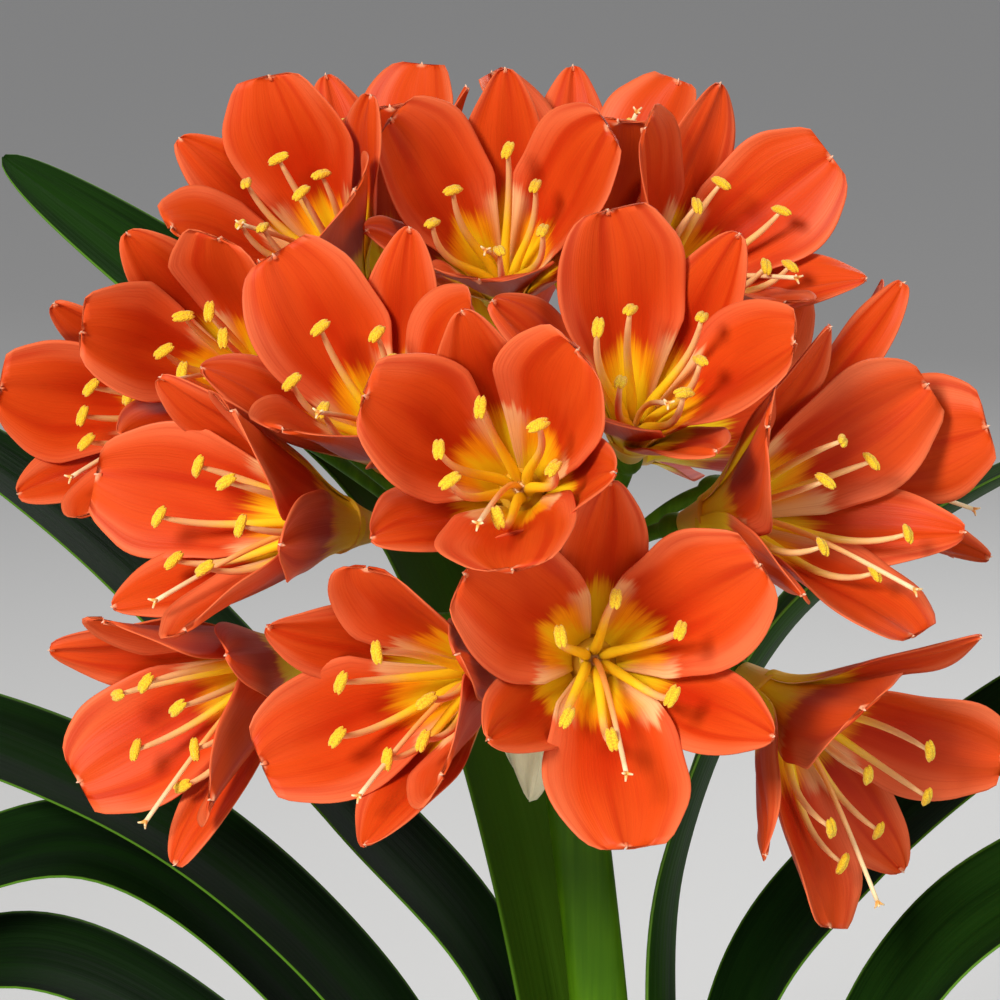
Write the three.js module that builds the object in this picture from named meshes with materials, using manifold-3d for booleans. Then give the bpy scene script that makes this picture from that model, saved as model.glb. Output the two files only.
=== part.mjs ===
// Clivia in a plain pot, in millimetres, +Z up, origin at the middle of the pot's underside.
//
// A two-ranked fan of strap leaves and one flattened flower stalk stand in a round hole in the
// soil. The stalk carries an umbel of funnel-shaped blooms. Every bloom is six petals on a short
// tube, and holds its own ring of stamens with the style in the middle.

import * as THREE from "three";
import { mergeVertices } from "three/addons/utils/BufferGeometryUtils.js";
import Module from "manifold-3d";

const wasm = await Module();
wasm.setup();

// ---------------------------------------------------------------- driving dimensions

const GAP = 0.3;
const UP = new THREE.Vector3(0, 0, 1);
const UNIT_Y = new THREE.Vector3(0, 1, 0);
const DEGREE = Math.PI / 180;

const POT = {
  height: 150, footRadius: 60, mouthRadius: 82, rimRadius: 88, rimHeight: 26, wall: 6, sides: 20,
};
const SOIL = { top: 140, swell: 3, holeRadius: 33, holeDepth: 12, sides: 14 };
const STALK = {
  foot: 4, lean: 22, top: 421, halfWidth: 7.4, halfDepth: 4.6, slant: 0.14, rings: 6, sides: 8,
};
const UMBEL = new THREE.Vector3(-25, 0, 436);
const OVARY = { length: 7, radius: 3.6, tipRadius: 2.0, stops: [0.35, 0.75, 1] };
const RECEPTACLE = { radius: 10, depth: 8.5, height: 7 };
const PEDICEL = { radius: 2.1, sides: 3, bends: 3, sunk: 6, outset: 18, lead: 14, rise: 0.35 };
const TUBE = { length: 10, baseRadius: 3.4, mouthRadius: 7.0, sides: 6 };
const PETAL = {
  length: 66, thickness: 0.75, foot: 3.3, start: 0.12, flareEnd: 0.4, recurve: 12, tubeAngle: 10,
};
const INNER = { width: 34, widest: 0.72, round: 2.2, columns: 3, rows: 4, outset: 0, footWidth: 7 };
const OUTER = { width: 22, widest: 0.62, round: 1.6, columns: 2, rows: 3, outset: 3.2, footWidth: 5 };
const STAMEN = {
  reach: 50, ring: 2.3, spread: 15, vary: 3, turn: 12, droop: 6, rise: 14, sunk: 0.8,
  hub: 3.7, hubHeight: 1.6, shut: 13, free: 31,
};
const FILAMENT = { stops: [0, 0.89, 0.95, 1], radii: [1.0, 0.6, 1.5, 0.8] };
const STYLE = { reach: 60, radius: 0.65, aside: 26 };
const LEAF = {
  rows: 7, columns: 2, rib: 2.0, margin: 0.9, foot: 128.4, collar: 12,
  footAngle: 66, channel: 46, taper: 0.72,
};
const BRACT = {
  length: 26, width: 15, thickness: 0.8, count: 3, stops: [0, 0.4, 0.75, 1], firstTurn: 245,
  at: 0.955, clearance: 3.2, bow: 0.32, cup: 2.2, hang: 1.4, rootWidth: 0.6, fullFrom: 0.55,
  endFrom: 0.6, endWidth: 0.5,
};
const COLLAR = { clearance: 2.5, wall: 0.22, height: 6, sides: 6 };

// Blooms. base and face are [heading, rise] in degrees, where heading 0 is +X and 90 is +Y: base
// is the way from the umbel's centre to the bloom's tube, reach its length, and face is the way
// the bloom looks. roll turns the bloom on its own axis. lift opens single petals by some degrees.
const BLOOMS = [
  { base: [-75, -7], reach: 57, face: [-84, 16], roll: 181, opening: 36, lift: [8, -2, -1, -3, 1, -9] },
  { base: [-97, -12], reach: 51, face: [-121, 5], roll: 122, opening: 27, lift: [3, -3, -8, -8, 0, -4] },
  { base: [-151, -10], reach: 58, face: [-135, -9], roll: 6, opening: 29, lift: [-8, -3, 2, 0, -6, 5] },
  { base: [-130, 22], reach: 61, face: [-139, 13], roll: 86, opening: 28, lift: [3, -4, -4, 2, -4, -5] },
  { base: [-138, 40], reach: 51, face: [-108, 42], roll: 285, opening: 27, lift: [0, 0, 0, 0, -6, -3] },
  { base: [-90, 29], reach: 68, face: [-100, 26], roll: 315, opening: 27, lift: [-6, -8, -4, 0, 0, -6] },
  { base: [-52, 44], reach: 56, face: [-84, 42], roll: 17, opening: 29, lift: [-3, 4, -3, 0, -2, -7] },
  { base: [-41, 23], reach: 55, face: [-39, 18], roll: 301, opening: 34, lift: [0, -3, 2, 0, 0, -5] },
  { base: [-22, -18], reach: 60, face: [-45, -24], roll: 280, opening: 38, lift: [-6, 4, 3, 0, -8, 8] },
  { base: [96, 55], reach: 75, face: [-95, 43], roll: 298, opening: 29, lift: [-2, -2, -3, -2, -2, 0] },
  { base: [140, 50], reach: 85, face: [-118, 41], roll: 18, opening: 25, lift: [-4, -7, -3, -5, -2, -2] },
  { base: [159, 32], reach: 81, face: [-110, 26], roll: 100, opening: 23, lift: [-4, 0, 0, -4, -8, -3] },
  { base: [145, 19], reach: 98, face: [-127, 9], roll: 82, opening: 24, lift: [-4, -4, -4, -6, -4, -4] },
  { base: [52, 54], reach: 75, face: [-52, 37], roll: 287, opening: 29, lift: [-2, 0, 0, -3, -4, 0] },
  { base: [79, 39], reach: 90, face: [-60, 80], roll: 40, opening: 27, lift: [-3, -3, -3, -3, -3, -3] },
  { base: [118, 36], reach: 95, face: [-130, 80], roll: 0, opening: 23, lift: [-3, -3, -3, -3, -3, -3] },
  { base: [-16, 28], reach: 58, face: [15, 15], roll: 323, opening: 37, lift: [-4, 3, -3, -3, 0, -3] },
  { base: [97, 27], reach: 72, face: [103, 38], roll: 29, opening: 26, lift: [-9, 2, 5, 0, -5, -5] },
  { base: [65, 21], reach: 59, face: [47, 17], roll: 38, opening: 35, lift: [0, -5, -5, 0, -5, -2] },
];

// Leaves of the two ranks, inner ones first. radius is how far a leaf's foot stands from the
// stalk, tilt its turn about the rib, and path holds points on the rib above the soil.
const LEAVES = {
  left: [
    {
      radius: 9.5, width: 38, tilt: 40,
      path: [
        [-9, 2, 190], [-17, 18, 320], [-56, 60, 441], [-104, 88, 485], [-168, 116, 528],
      ],
    },
    {
      radius: 12.7, width: 40, tilt: 16,
      path: [
        [-13, 0, 185], [-32, 6, 323], [-71, 20, 370], [-133, 45, 431], [-199, 68, 475],
      ],
    },
    {
      radius: 15.9, width: 42, tilt: 14,
      path: [
        [-18, -1, 180], [-42, -4, 275], [-69, -6, 328], [-120, 0, 372], [-204, 8, 403],
        [-255, 10, 400],
      ],
    },
    {
      radius: 19.1, width: 42, tilt: 12,
      path: [
        [-22, -2, 175], [-55, -6, 278], [-85, -8, 330], [-136, -12, 369], [-195, -14, 343],
        [-246, -16, 290],
      ],
    },
    {
      radius: 22.3, width: 40, tilt: 10,
      path: [
        [-27, -4, 170], [-66, -16, 262], [-96, -22, 312], [-150, -25, 343], [-197, -26, 322],
        [-238, -28, 272],
      ],
    },
    {
      radius: 25.5, width: 38, tilt: 0,
      path: [
        [-33, 3, 165], [-76, 10, 235], [-130, 14, 262], [-185, 18, 250], [-230, 20, 205],
      ],
    },
  ],
  right: [
    {
      radius: 14, width: 40, tilt: -8,
      path: [
        [14, 1, 190], [14, 18, 290], [17, 38, 352], [46, 58, 410], [95, 74, 441], [165, 90, 472],
      ],
    },
    {
      radius: 17.2, width: 42, tilt: 14,
      path: [
        [18, 2, 185], [36, 12, 321], [62, 17, 357], [98, 22, 387], [150, 30, 412], [200, 36, 415],
      ],
    },
    {
      radius: 20.4, width: 42, tilt: 14,
      path: [
        [23, -3, 180], [50, -12, 270], [72, -16, 331], [97, -20, 358], [150, -26, 378],
        [205, -30, 365], [245, -32, 330],
      ],
    },
    {
      radius: 23.6, width: 40, tilt: 8,
      path: [
        [28, 2, 172], [66, 6, 255], [110, 10, 300], [165, 14, 310], [215, 18, 285], [250, 20, 240],
      ],
    },
    {
      radius: 26.8, width: 40, tilt: 0,
      path: [
        [34, -3, 165], [82, -10, 228], [135, -14, 252], [190, -18, 238], [232, -20, 195],
      ],
    },
  ],
};

// ---------------------------------------------------------------- solids and helpers

function smooth(x) {
  const s = THREE.MathUtils.clamp(x, 0, 1);
  return s * s * (3 - 2 * s);
}

function direction([heading, rise]) {
  const h = heading * DEGREE;
  const r = rise * DEGREE;
  return new THREE.Vector3(Math.cos(r) * Math.cos(h), Math.cos(r) * Math.sin(h), Math.sin(r));
}

function lerp(a, b, t) {
  return a + (b - a) * t;
}

// A point at a distance from the Z axis, at height 0.
function around(degrees, distance) {
  const turn = degrees * DEGREE;
  return new THREE.Vector3(Math.cos(turn) * distance, Math.sin(turn) * distance, 0);
}

// A seeded draw between -1 and 1, the same on every run.
function draw(seed) {
  const s = Math.sin(seed * 12.9898 + 78.233) * 43758.5453;
  return 2 * (s - Math.floor(s)) - 1;
}

function toSolid(geometry) {
  const bare = geometry.clone();
  bare.deleteAttribute("normal");
  bare.deleteAttribute("uv");
  const merged = mergeVertices(bare, 1e-4);
  return new wasm.Manifold(new wasm.Mesh({
    numProp: 3,
    vertProperties: new Float32Array(merged.attributes.position.array),
    triVerts: new Uint32Array(merged.index.array),
  }));
}

function toGeometry(solid) {
  const mesh = solid.getMesh();
  const geometry = new THREE.BufferGeometry();
  geometry.setAttribute("position", new THREE.BufferAttribute(mesh.vertProperties, 3));
  geometry.setIndex(new THREE.BufferAttribute(mesh.triVerts, 1));
  return geometry;
}

// One solid from several. A pocket that the pieces close off is filled, and a loose scrap dropped.
function join(geometries) {
  const sum = geometries.map(toSolid).reduce((whole, solid) => whole.add(solid));
  const shells = sum.decompose().sort((a, b) => b.volume() - a.volume());
  return toGeometry(shells[0]);
}

function fromGrid(points, triangles) {
  const geometry = new THREE.BufferGeometry();
  const numbers = points.flatMap((p) => [p.x, p.y, p.z]);
  geometry.setAttribute("position", new THREE.Float32BufferAttribute(numbers, 3));
  geometry.setIndex(signedVolume(points, triangles) < 0 ? triangles.reverse() : triangles);
  return geometry;
}

function signedVolume(points, triangles) {
  let volume = 0;
  for (let i = 0; i < triangles.length; i += 3) {
    const [a, b, c] = [points[triangles[i]], points[triangles[i + 1]], points[triangles[i + 2]]];
    volume += a.dot(b.clone().cross(c));
  }
  return volume;
}

// A thin closed solid on a surface. surface(t, q) gives the middle point and the unit normal,
// with t from root to tip and q from -1 to 1 across. Both faces are split alike.
function blade(rows, columns, surface, thickness) {
  const wide = columns + 1;
  const face = rows.length * wide;
  const points = [];
  for (const side of [0.5, -0.5]) {
    for (const t of rows) {
      for (let j = 0; j < wide; j++) {
        const q = (2 * j) / columns - 1;
        const { point, normal } = surface(t, q);
        points.push(point.addScaledVector(normal, side * thickness(t, q)));
      }
    }
  }
  const triangles = [];
  for (let i = 0; i < rows.length - 1; i++) {
    for (let j = 0; j < columns; j++) {
      const a = i * wide + j;
      const [b, c, d] = [a + 1, a + wide, a + wide + 1];
      triangles.push(a, b, d, a, d, c);
      triangles.push(a + face, d + face, b + face, a + face, c + face, d + face);
    }
  }
  const rim = [];
  for (let j = 0; j < columns; j++) rim.push(j);
  for (let i = 0; i < rows.length - 1; i++) rim.push(i * wide + columns);
  for (let j = columns; j > 0; j--) rim.push((rows.length - 1) * wide + j);
  for (let i = rows.length - 1; i > 0; i--) rim.push(i * wide);
  rim.forEach((a, i) => {
    const b = rim[(i + 1) % rim.length];
    triangles.push(a, a + face, b + face, a, b + face, b);
  });
  return fromGrid(points, triangles);
}

// A solid turned about the Z axis, from pairs of radius and height.
function turned(profile, sides) {
  const line = profile.map(([radius, height]) => new THREE.Vector2(radius, height));
  return new THREE.LatheGeometry(line, sides).rotateX(90 * DEGREE);
}

// A closed tube through ring centres, each ring given as { center, across, along }.
function loft(rings, sides) {
  const points = [];
  const triangles = [];
  for (const { center, across, along } of rings) {
    for (let i = 0; i < sides; i++) {
      const turn = (2 * Math.PI * i) / sides;
      const point = center.clone().addScaledVector(across, Math.cos(turn));
      points.push(point.addScaledVector(along, Math.sin(turn)));
    }
  }
  for (let r = 0; r < rings.length - 1; r++) {
    for (let i = 0; i < sides; i++) {
      const a = r * sides + i;
      const b = r * sides + ((i + 1) % sides);
      triangles.push(a, b, b + sides, a, b + sides, a + sides);
    }
  }
  const last = (rings.length - 1) * sides;
  for (let i = 1; i < sides - 1; i++) {
    triangles.push(0, i + 1, i);
    triangles.push(last, last + i, last + i + 1);
  }
  return fromGrid(points, triangles);
}

// Rings of the given radii along a curve, square to it, evenly or at the given stops.
function ringsAlong(curve, radii, stops) {
  return radii.map((radius, i) => {
    const t = stops ? stops[i] : i / (radii.length - 1);
    const tangent = curve.getTangentAt(t);
    const across = new THREE.Vector3(1, 0, 0).cross(tangent);
    if (across.length() < 0.2) across.set(0, 1, 0).cross(tangent);
    across.normalize();
    const along = tangent.clone().cross(across).multiplyScalar(radius);
    return { center: curve.getPointAt(t), across: across.multiplyScalar(radius), along };
  });
}

// ---------------------------------------------------------------- pot and soil

function potSkin(depth) {
  const { height, footRadius, mouthRadius } = POT;
  return footRadius + ((mouthRadius - footRadius) * depth) / height;
}

function makePot() {
  const { height, rimRadius, rimHeight, wall, sides } = POT;
  const band = height - rimHeight;
  const profile = [
    [0, 0], [potSkin(0) - 3, 0], [potSkin(0), 3], [potSkin(band), band], [rimRadius, band + 3],
    [rimRadius + 1, height - 2], [rimRadius - 1, height], [potSkin(height) - wall, height],
    [potSkin(wall) - wall, wall + 2], [0, wall + 2],
  ];
  return turned(profile, sides);
}

function makeSoil() {
  const { top, swell, holeRadius, holeDepth, sides } = SOIL;
  const inner = (z) => (potSkin(z) - POT.wall) * Math.cos(Math.PI / POT.sides) - 2 * GAP;
  const floor = POT.wall + 2 + GAP;
  const profile = [
    [0, floor], [inner(floor) - 1, floor], [inner(top), top - 1], [inner(top) * 0.7, top + swell],
    [holeRadius + 4, top + swell], [holeRadius, top], [holeRadius, top - holeDepth],
    [0, top - holeDepth],
  ];
  return lumpy(turned(profile, sides));
}

// Crumbs raise and lower the free points of the soil's top.
function lumpy(geometry) {
  const place = geometry.attributes.position;
  for (let i = 0; i < place.count; i++) {
    const [x, y, z] = [place.getX(i), place.getY(i), place.getZ(i)];
    const reach = Math.hypot(x, y);
    const free = z > SOIL.top - 0.5 && reach > SOIL.holeRadius + 1;
    const turn = Math.atan2(y, x);
    if (free) place.setZ(i, z + 1.2 * Math.sin(5 * turn + reach) + 0.8 * Math.sin(11 * turn - reach));
  }
  return geometry;
}

// ---------------------------------------------------------------- stalk, pedicels and bracts

function stalkCenter(s) {
  const base = SOIL.top - SOIL.holeDepth + GAP;
  return new THREE.Vector3(STALK.foot - STALK.lean * s * s, 0, lerp(base, STALK.top, s));
}

function makeStalk() {
  const rings = [];
  for (let i = 0; i < STALK.rings; i++) {
    const s = i / (STALK.rings - 1);
    const across = new THREE.Vector3(STALK.halfWidth, 0, STALK.halfWidth * STALK.slant * s);
    rings.push({ center: stalkCenter(s), across, along: new THREE.Vector3(0, STALK.halfDepth, 0) });
  }
  return loft(rings, STALK.sides);
}

function baseOf(bloom) {
  return UMBEL.clone().addScaledVector(direction(bloom.base), bloom.reach);
}

// The swollen end of the stalk, which the pedicels spring from.
function makeReceptacle() {
  const { radius, depth, height } = RECEPTACLE;
  const knob = new THREE.SphereGeometry(1, 8, 5).rotateX(90 * DEGREE).scale(radius, depth, height);
  return knob.translate(stalkCenter(1).x, 0, stalkCenter(1).z);
}

function makePedicel(bloom) {
  const top = stalkCenter(1);
  const face = direction(bloom.face);
  const base = baseOf(bloom);
  const out = base.clone().sub(top).normalize().addScaledVector(UP, PEDICEL.rise).normalize();
  const ovaryFoot = base.clone().addScaledVector(face, -OVARY.length);
  const curve = new THREE.CubicBezierCurve3(
    top.clone().addScaledVector(out, PEDICEL.sunk),
    top.clone().addScaledVector(out, PEDICEL.sunk + PEDICEL.outset),
    ovaryFoot.clone().addScaledVector(face, -PEDICEL.lead),
    ovaryFoot.clone(),
  );
  const rings = ringsAlong(curve, new Array(PEDICEL.bends).fill(PEDICEL.radius));
  const { across, along } = rings.at(-1);
  for (const ahead of OVARY.stops) {
    const radius = ahead < 1 ? OVARY.radius : OVARY.tipRadius;
    rings.push({
      center: ovaryFoot.clone().addScaledVector(face, ahead * (OVARY.length - GAP)),
      across: across.clone().setLength(radius),
      along: along.clone().setLength(radius),
    });
  }
  return loft(rings, PEDICEL.sides);
}

function makeBracts() {
  const { clearance, wall, height, sides } = COLLAR;
  const foot = stalkCenter(BRACT.at);
  const [inside, outside] = [1, 1 + wall];
  const ring = [[inside, 0], [outside, 0], [outside, height], [inside, height], [inside, 0]];
  const collar = turned(ring, sides);
  collar.scale(STALK.halfWidth + clearance, STALK.halfDepth + clearance, 1);
  collar.translate(foot.x, foot.y, foot.z - height / 2);
  const pieces = [collar];
  for (let i = 0; i < BRACT.count; i++) {
    const out = around(BRACT.firstTurn + (360 * i) / BRACT.count, 1);
    pieces.push(makeBract(foot, out));
  }
  return join(pieces);
}

// One papery bract, bent over outwards and hanging down beside the stalk.
function makeBract(foot, out) {
  const side = new THREE.Vector3(-out.y, out.x, 0);
  const { length, clearance, bow, cup, hang } = BRACT;
  const root = foot.clone();
  root.x += out.x * (STALK.halfWidth + clearance);
  root.y += out.y * (STALK.halfDepth + clearance);
  const surface = (t, q) => {
    const swell = lerp(BRACT.rootWidth, 1, smooth(t / BRACT.fullFrom));
    const narrowing = lerp(1, BRACT.endWidth, smooth((t - BRACT.endFrom) / (1 - BRACT.endFrom)));
    const width = BRACT.width * swell * narrowing;
    const point = root.clone().addScaledVector(out, length * bow * Math.sin(1.9 * t) - cup * q * q);
    point.addScaledVector(side, (q * width) / 2).addScaledVector(UP, -length * t * t * lerp(hang, 1, t));
    return { point, normal: out.clone() };
  };
  return blade(BRACT.stops, 2, surface, () => BRACT.thickness);
}

// ---------------------------------------------------------------- blooms

// The rib of a petal seen from the side: distance from the bloom's axis, height and slope. The
// opening is shared by all six, and a petal's own lift bends it from about half its length.
function petalRib(opening, lift) {
  const steps = 30;
  const rib = [{ radius: PETAL.foot, height: 0, slope: PETAL.tubeAngle * DEGREE }];
  for (let i = 1; i <= steps; i++) {
    const t = (i - 0.5) / steps;
    const flare = (opening - PETAL.tubeAngle) * smooth(t / PETAL.flareEnd);
    const own = 1.3 * lift * smooth((t - 0.3) / 0.35) + PETAL.recurve * Math.max(0, (t - 0.6) / 0.4) ** 2;
    const slope = (PETAL.tubeAngle + flare + own) * DEGREE;
    const { radius, height } = rib[i - 1];
    const step = PETAL.length / steps;
    rib.push({ radius: radius + Math.sin(slope) * step, height: height + Math.cos(slope) * step, slope });
  }
  return (t) => {
    const place = THREE.MathUtils.clamp(t, 0, 1) * steps;
    const i = Math.min(Math.floor(place), steps - 1);
    const mix = (key) => lerp(rib[i][key], rib[i + 1][key], place - i);
    return { radius: mix("radius"), height: mix("height"), slope: mix("slope") };
  };
}

function petalWidth(kind, t) {
  const foot = kind.footWidth;
  const grown = Math.sin((Math.PI / 2) * Math.min(1, t / kind.widest)) ** 1.3;
  if (t < kind.widest) return lerp(foot, kind.width, grown);
  const past = (t - kind.widest) / (1 - kind.widest);
  return kind.width * Math.max(0.22, (1 - past ** kind.round) ** (1 / kind.round));
}

function makePetal(kind, turn, opening, lift) {
  const rib = petalRib(opening, lift);
  const out = new THREE.Vector3(Math.cos(turn), Math.sin(turn), 0);
  const side = new THREE.Vector3(-out.y, out.x, 0);
  const surface = (t, q) => {
    const { radius, height, slope } = rib(t);
    const outset = kind.outset * (0.28 + 0.72 * smooth((t - PETAL.start) / 0.5));
    const bend = radius + outset + 10 * smooth((t - 0.5) / 0.5);
    const angle = (q * Math.min(petalWidth(kind, t), 1.9 * (radius + outset))) / 2 / bend;
    const inward = out.clone().multiplyScalar(-Math.cos(slope)).addScaledVector(UP, Math.sin(slope));
    const point = out.clone().multiplyScalar(radius).addScaledVector(UP, height);
    point.addScaledVector(inward, bend * (1 - Math.cos(angle)) - outset);
    point.addScaledVector(side, bend * Math.sin(angle));
    const normal = inward.multiplyScalar(Math.cos(angle)).addScaledVector(side, -Math.sin(angle));
    return { point, normal };
  };
  const rows = [];
  for (let i = 0; i <= kind.rows; i++) {
    const t = i / kind.rows;
    rows.push(PETAL.start + (1 - PETAL.start) * (t + 0.22 * t * (1 - t)));
  }
  return blade(rows, kind.columns, surface, () => PETAL.thickness);
}

function makeTube() {
  const { length, baseRadius, mouthRadius, sides } = TUBE;
  const tube = new THREE.CylinderGeometry(mouthRadius, baseRadius, length, sides).rotateX(90 * DEGREE);
  return tube.rotateZ(90 * DEGREE).translate(0, 0, length / 2);
}

function makeBloom(bloom) {
  const pieces = [makeTube().rotateZ(bloom.roll * DEGREE)];
  for (let k = 0; k < 6; k++) {
    const kind = k % 2 ? OUTER : INNER;
    const turn = (bloom.roll + 60 * k) * DEGREE;
    pieces.push(makePetal(kind, turn, bloom.opening, bloom.lift[k]));
  }
  return join(pieces);
}

// Six filaments with anthers and the longer style rise from a small disc on the tube's end. They
// hang down a little, and less so in a bloom that is hardly open.
function makeStamens(bloom, index) {
  const floor = TUBE.length + GAP;
  const ease = Math.min(1, (bloom.opening - STAMEN.shut) / (STAMEN.free - STAMEN.shut));
  const droop = STAMEN.droop * ease;
  const aside = STYLE.aside * ease;
  const hub = new THREE.CylinderGeometry(STAMEN.hub, STAMEN.hub, STAMEN.hubHeight, 6).rotateX(90 * DEGREE);
  const pieces = [hub.translate(0, 0, floor + STAMEN.hubHeight / 2)];
  for (let k = 0; k < 6; k++) {
    const turn = bloom.roll + 60 * k;
    const spread = (STAMEN.spread + STAMEN.vary * draw(index * 11 + k + 3)) * ease;
    const height = STAMEN.reach + STAMEN.vary * draw(index * 5 + k + 9);
    const root = around(turn, STAMEN.ring);
    const tip = around(turn + STAMEN.turn * draw(index * 7 + k), spread);
    const curve = new THREE.CubicBezierCurve3(
      root.clone().setZ(floor + STAMEN.sunk),
      root.clone().setLength(STAMEN.ring + 1.5).setZ(floor + STAMEN.rise),
      tip.clone().add(new THREE.Vector3(-droop, 0, height * 0.6)),
      tip.clone().add(new THREE.Vector3(-droop + 2, 0, height)),
    );
    pieces.push(loft(ringsAlong(curve, FILAMENT.radii, FILAMENT.stops), 3));
  }
  const style = new THREE.CubicBezierCurve3(
    new THREE.Vector3(0, 0, floor + STAMEN.sunk),
    new THREE.Vector3(0, 0, STYLE.reach * 0.4),
    new THREE.Vector3(-aside * 0.5, 0, STYLE.reach * 0.7),
    new THREE.Vector3(-aside, 0, STYLE.reach),
  );
  pieces.push(loft(ringsAlong(style, [STYLE.radius, STYLE.radius, STYLE.radius * 1.3]), 3));
  return join(pieces);
}

// ---------------------------------------------------------------- leaves

function leafWidth(leaf, t) {
  const foot = 2 * leaf.radius * LEAF.footAngle * DEGREE;
  const grown = lerp(Math.min(foot, leaf.width), leaf.width, smooth(t / 0.35));
  const past = Math.max(0, (t - LEAF.taper) / (1 - LEAF.taper));
  return grown * Math.max(0.1, Math.sqrt(1 - past ** 1.7));
}

function makeLeaf(leaf, side) {
  const foot = [
    new THREE.Vector3(side * leaf.radius, 0, LEAF.foot),
    new THREE.Vector3(side * leaf.radius, 0, SOIL.top + LEAF.collar),
  ];
  const curve = new THREE.CatmullRomCurve3([...foot, ...leaf.path.map((p) => new THREE.Vector3(...p))]);
  const surface = (t, q) => {
    const tangent = curve.getTangentAt(t);
    const across = UNIT_Y.clone().addScaledVector(tangent, -tangent.y).normalize();
    const upper = tangent.clone().cross(across).multiplyScalar(side);
    upper.applyAxisAngle(tangent, side * leaf.tilt * DEGREE * smooth(t / 0.4));
    across.applyAxisAngle(tangent, side * leaf.tilt * DEGREE * smooth(t / 0.4));
    const bend = lerp(leaf.radius, LEAF.channel, smooth(t / 0.3));
    const angle = (q * leafWidth(leaf, t)) / 2 / bend;
    const point = curve.getPointAt(t).addScaledVector(upper, bend * (1 - Math.cos(angle)));
    point.addScaledVector(across, bend * Math.sin(angle));
    const normal = upper.multiplyScalar(Math.cos(angle)).addScaledVector(across, -Math.sin(angle));
    return { point, normal };
  };
  const rows = [];
  for (let i = 0; i <= LEAF.rows; i++) rows.push(i / LEAF.rows);
  const thickness = (t, q) => lerp(LEAF.rib, LEAF.margin, Math.abs(q)) * (1 - 0.35 * t);
  return blade(rows, LEAF.columns, surface, thickness);
}

// ---------------------------------------------------------------- the plant

const clay = new THREE.MeshStandardMaterial({ color: 0xb5694a, roughness: 0.85, metalness: 0 });
const earth = new THREE.MeshStandardMaterial({ color: 0x33241a, roughness: 1, metalness: 0 });
const stem = new THREE.MeshStandardMaterial({ color: 0x4f8a1a, roughness: 0.5, metalness: 0 });
const foliage = new THREE.MeshStandardMaterial({ color: 0x1d4a1c, roughness: 0.45, metalness: 0 });
const petal = new THREE.MeshStandardMaterial({ color: 0xe45226, roughness: 0.55, metalness: 0 });
const pollen = new THREE.MeshStandardMaterial({ color: 0xf8c820, roughness: 0.8, metalness: 0 });
const paper = new THREE.MeshStandardMaterial({ color: 0xe6dcc0, roughness: 0.8, metalness: 0 });

const clivia = new THREE.Group();

function place(name, geometry, material, parent = clivia) {
  const mesh = new THREE.Mesh(geometry, material);
  mesh.name = name;
  parent.add(mesh);
  return mesh;
}

place("pot", makePot(), clay);
place("soil", makeSoil(), earth);
place("flower_stalk", join([makeStalk(), makeReceptacle(), ...BLOOMS.map(makePedicel)]), stem);
place("spathe_bracts", makeBracts(), paper);

LEAVES.left.forEach((leaf, i) => place(`leaf_left_${i + 1}`, makeLeaf(leaf, -1), foliage));
LEAVES.right.forEach((leaf, i) => place(`leaf_right_${i + 1}`, makeLeaf(leaf, 1), foliage));

BLOOMS.forEach((bloom, i) => {
  const number = String(i + 1).padStart(2, "0");
  const axis = direction(bloom.face);
  const up = UP.clone().addScaledVector(axis, -axis.z).normalize();
  const head = new THREE.Group();
  head.position.copy(baseOf(bloom));
  head.quaternion.setFromRotationMatrix(new THREE.Matrix4().makeBasis(up, axis.clone().cross(up), axis));
  place(`bloom_${number}`, makeBloom(bloom), petal, head);
  place(`stamens_${number}`, makeStamens(bloom, i), pollen, head);
  clivia.add(head);
});

export default clivia;
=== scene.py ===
"""Looks of a potted clivia: fine petals, stamens, leaves, stalk, bracts, clay pot and soil.

Every form follows the solid that it stands for, from the same sizes. Lengths are in millimetres
and are turned into metres where a mesh is made. On a blade, t runs from 0 at its foot to 1 at
its tip, and q runs across it from -1 to 1.
"""

from __future__ import annotations

import logging
import math
from dataclasses import dataclass
from enum import Enum
from typing import Any, Callable, Sequence

import bpy
import numpy as np
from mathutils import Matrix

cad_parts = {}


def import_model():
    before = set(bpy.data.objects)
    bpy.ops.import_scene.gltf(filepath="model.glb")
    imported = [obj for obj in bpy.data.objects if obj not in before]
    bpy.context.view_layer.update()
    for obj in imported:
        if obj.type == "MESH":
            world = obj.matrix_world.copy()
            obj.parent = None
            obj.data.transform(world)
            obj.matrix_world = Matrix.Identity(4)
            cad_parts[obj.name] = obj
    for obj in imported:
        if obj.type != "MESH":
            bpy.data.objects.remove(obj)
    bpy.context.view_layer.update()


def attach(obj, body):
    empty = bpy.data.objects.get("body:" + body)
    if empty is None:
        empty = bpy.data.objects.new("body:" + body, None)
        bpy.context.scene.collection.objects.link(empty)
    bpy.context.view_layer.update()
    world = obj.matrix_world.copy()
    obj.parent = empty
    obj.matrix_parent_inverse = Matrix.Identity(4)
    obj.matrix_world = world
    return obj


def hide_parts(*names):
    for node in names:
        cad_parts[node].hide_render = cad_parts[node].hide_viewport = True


LOG = logging.getLogger("clivia")
METRES = 0.001
BLADE_MAP = "blade"
PETALS = 6
PETAL_TURN = 60
UP = np.array([0.0, 0.0, 1.0])
UMBEL_MIDDLE = np.array([-25.0, 0.0, 436.0])
Array = np.ndarray
Face = tuple[int, ...]
Point = tuple[float, float, float]
Rgb = tuple[float, float, float]
Span = tuple[float, float]
Material = bpy.types.Material
Depth = Callable[[Array, Array], Array]
Surface = Callable[[Array, Array], tuple[Array, Array]]


# ------------------------------------------------------------------ numbers and directions


def rise(x: Array | float, start: float, end: float) -> Array:
    """Eases from 0 at start to 1 at end, and is flat outside."""
    s = np.clip((x - start) / (end - start), 0.0, 1.0)
    return s * s * (3 - 2 * s)


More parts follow.
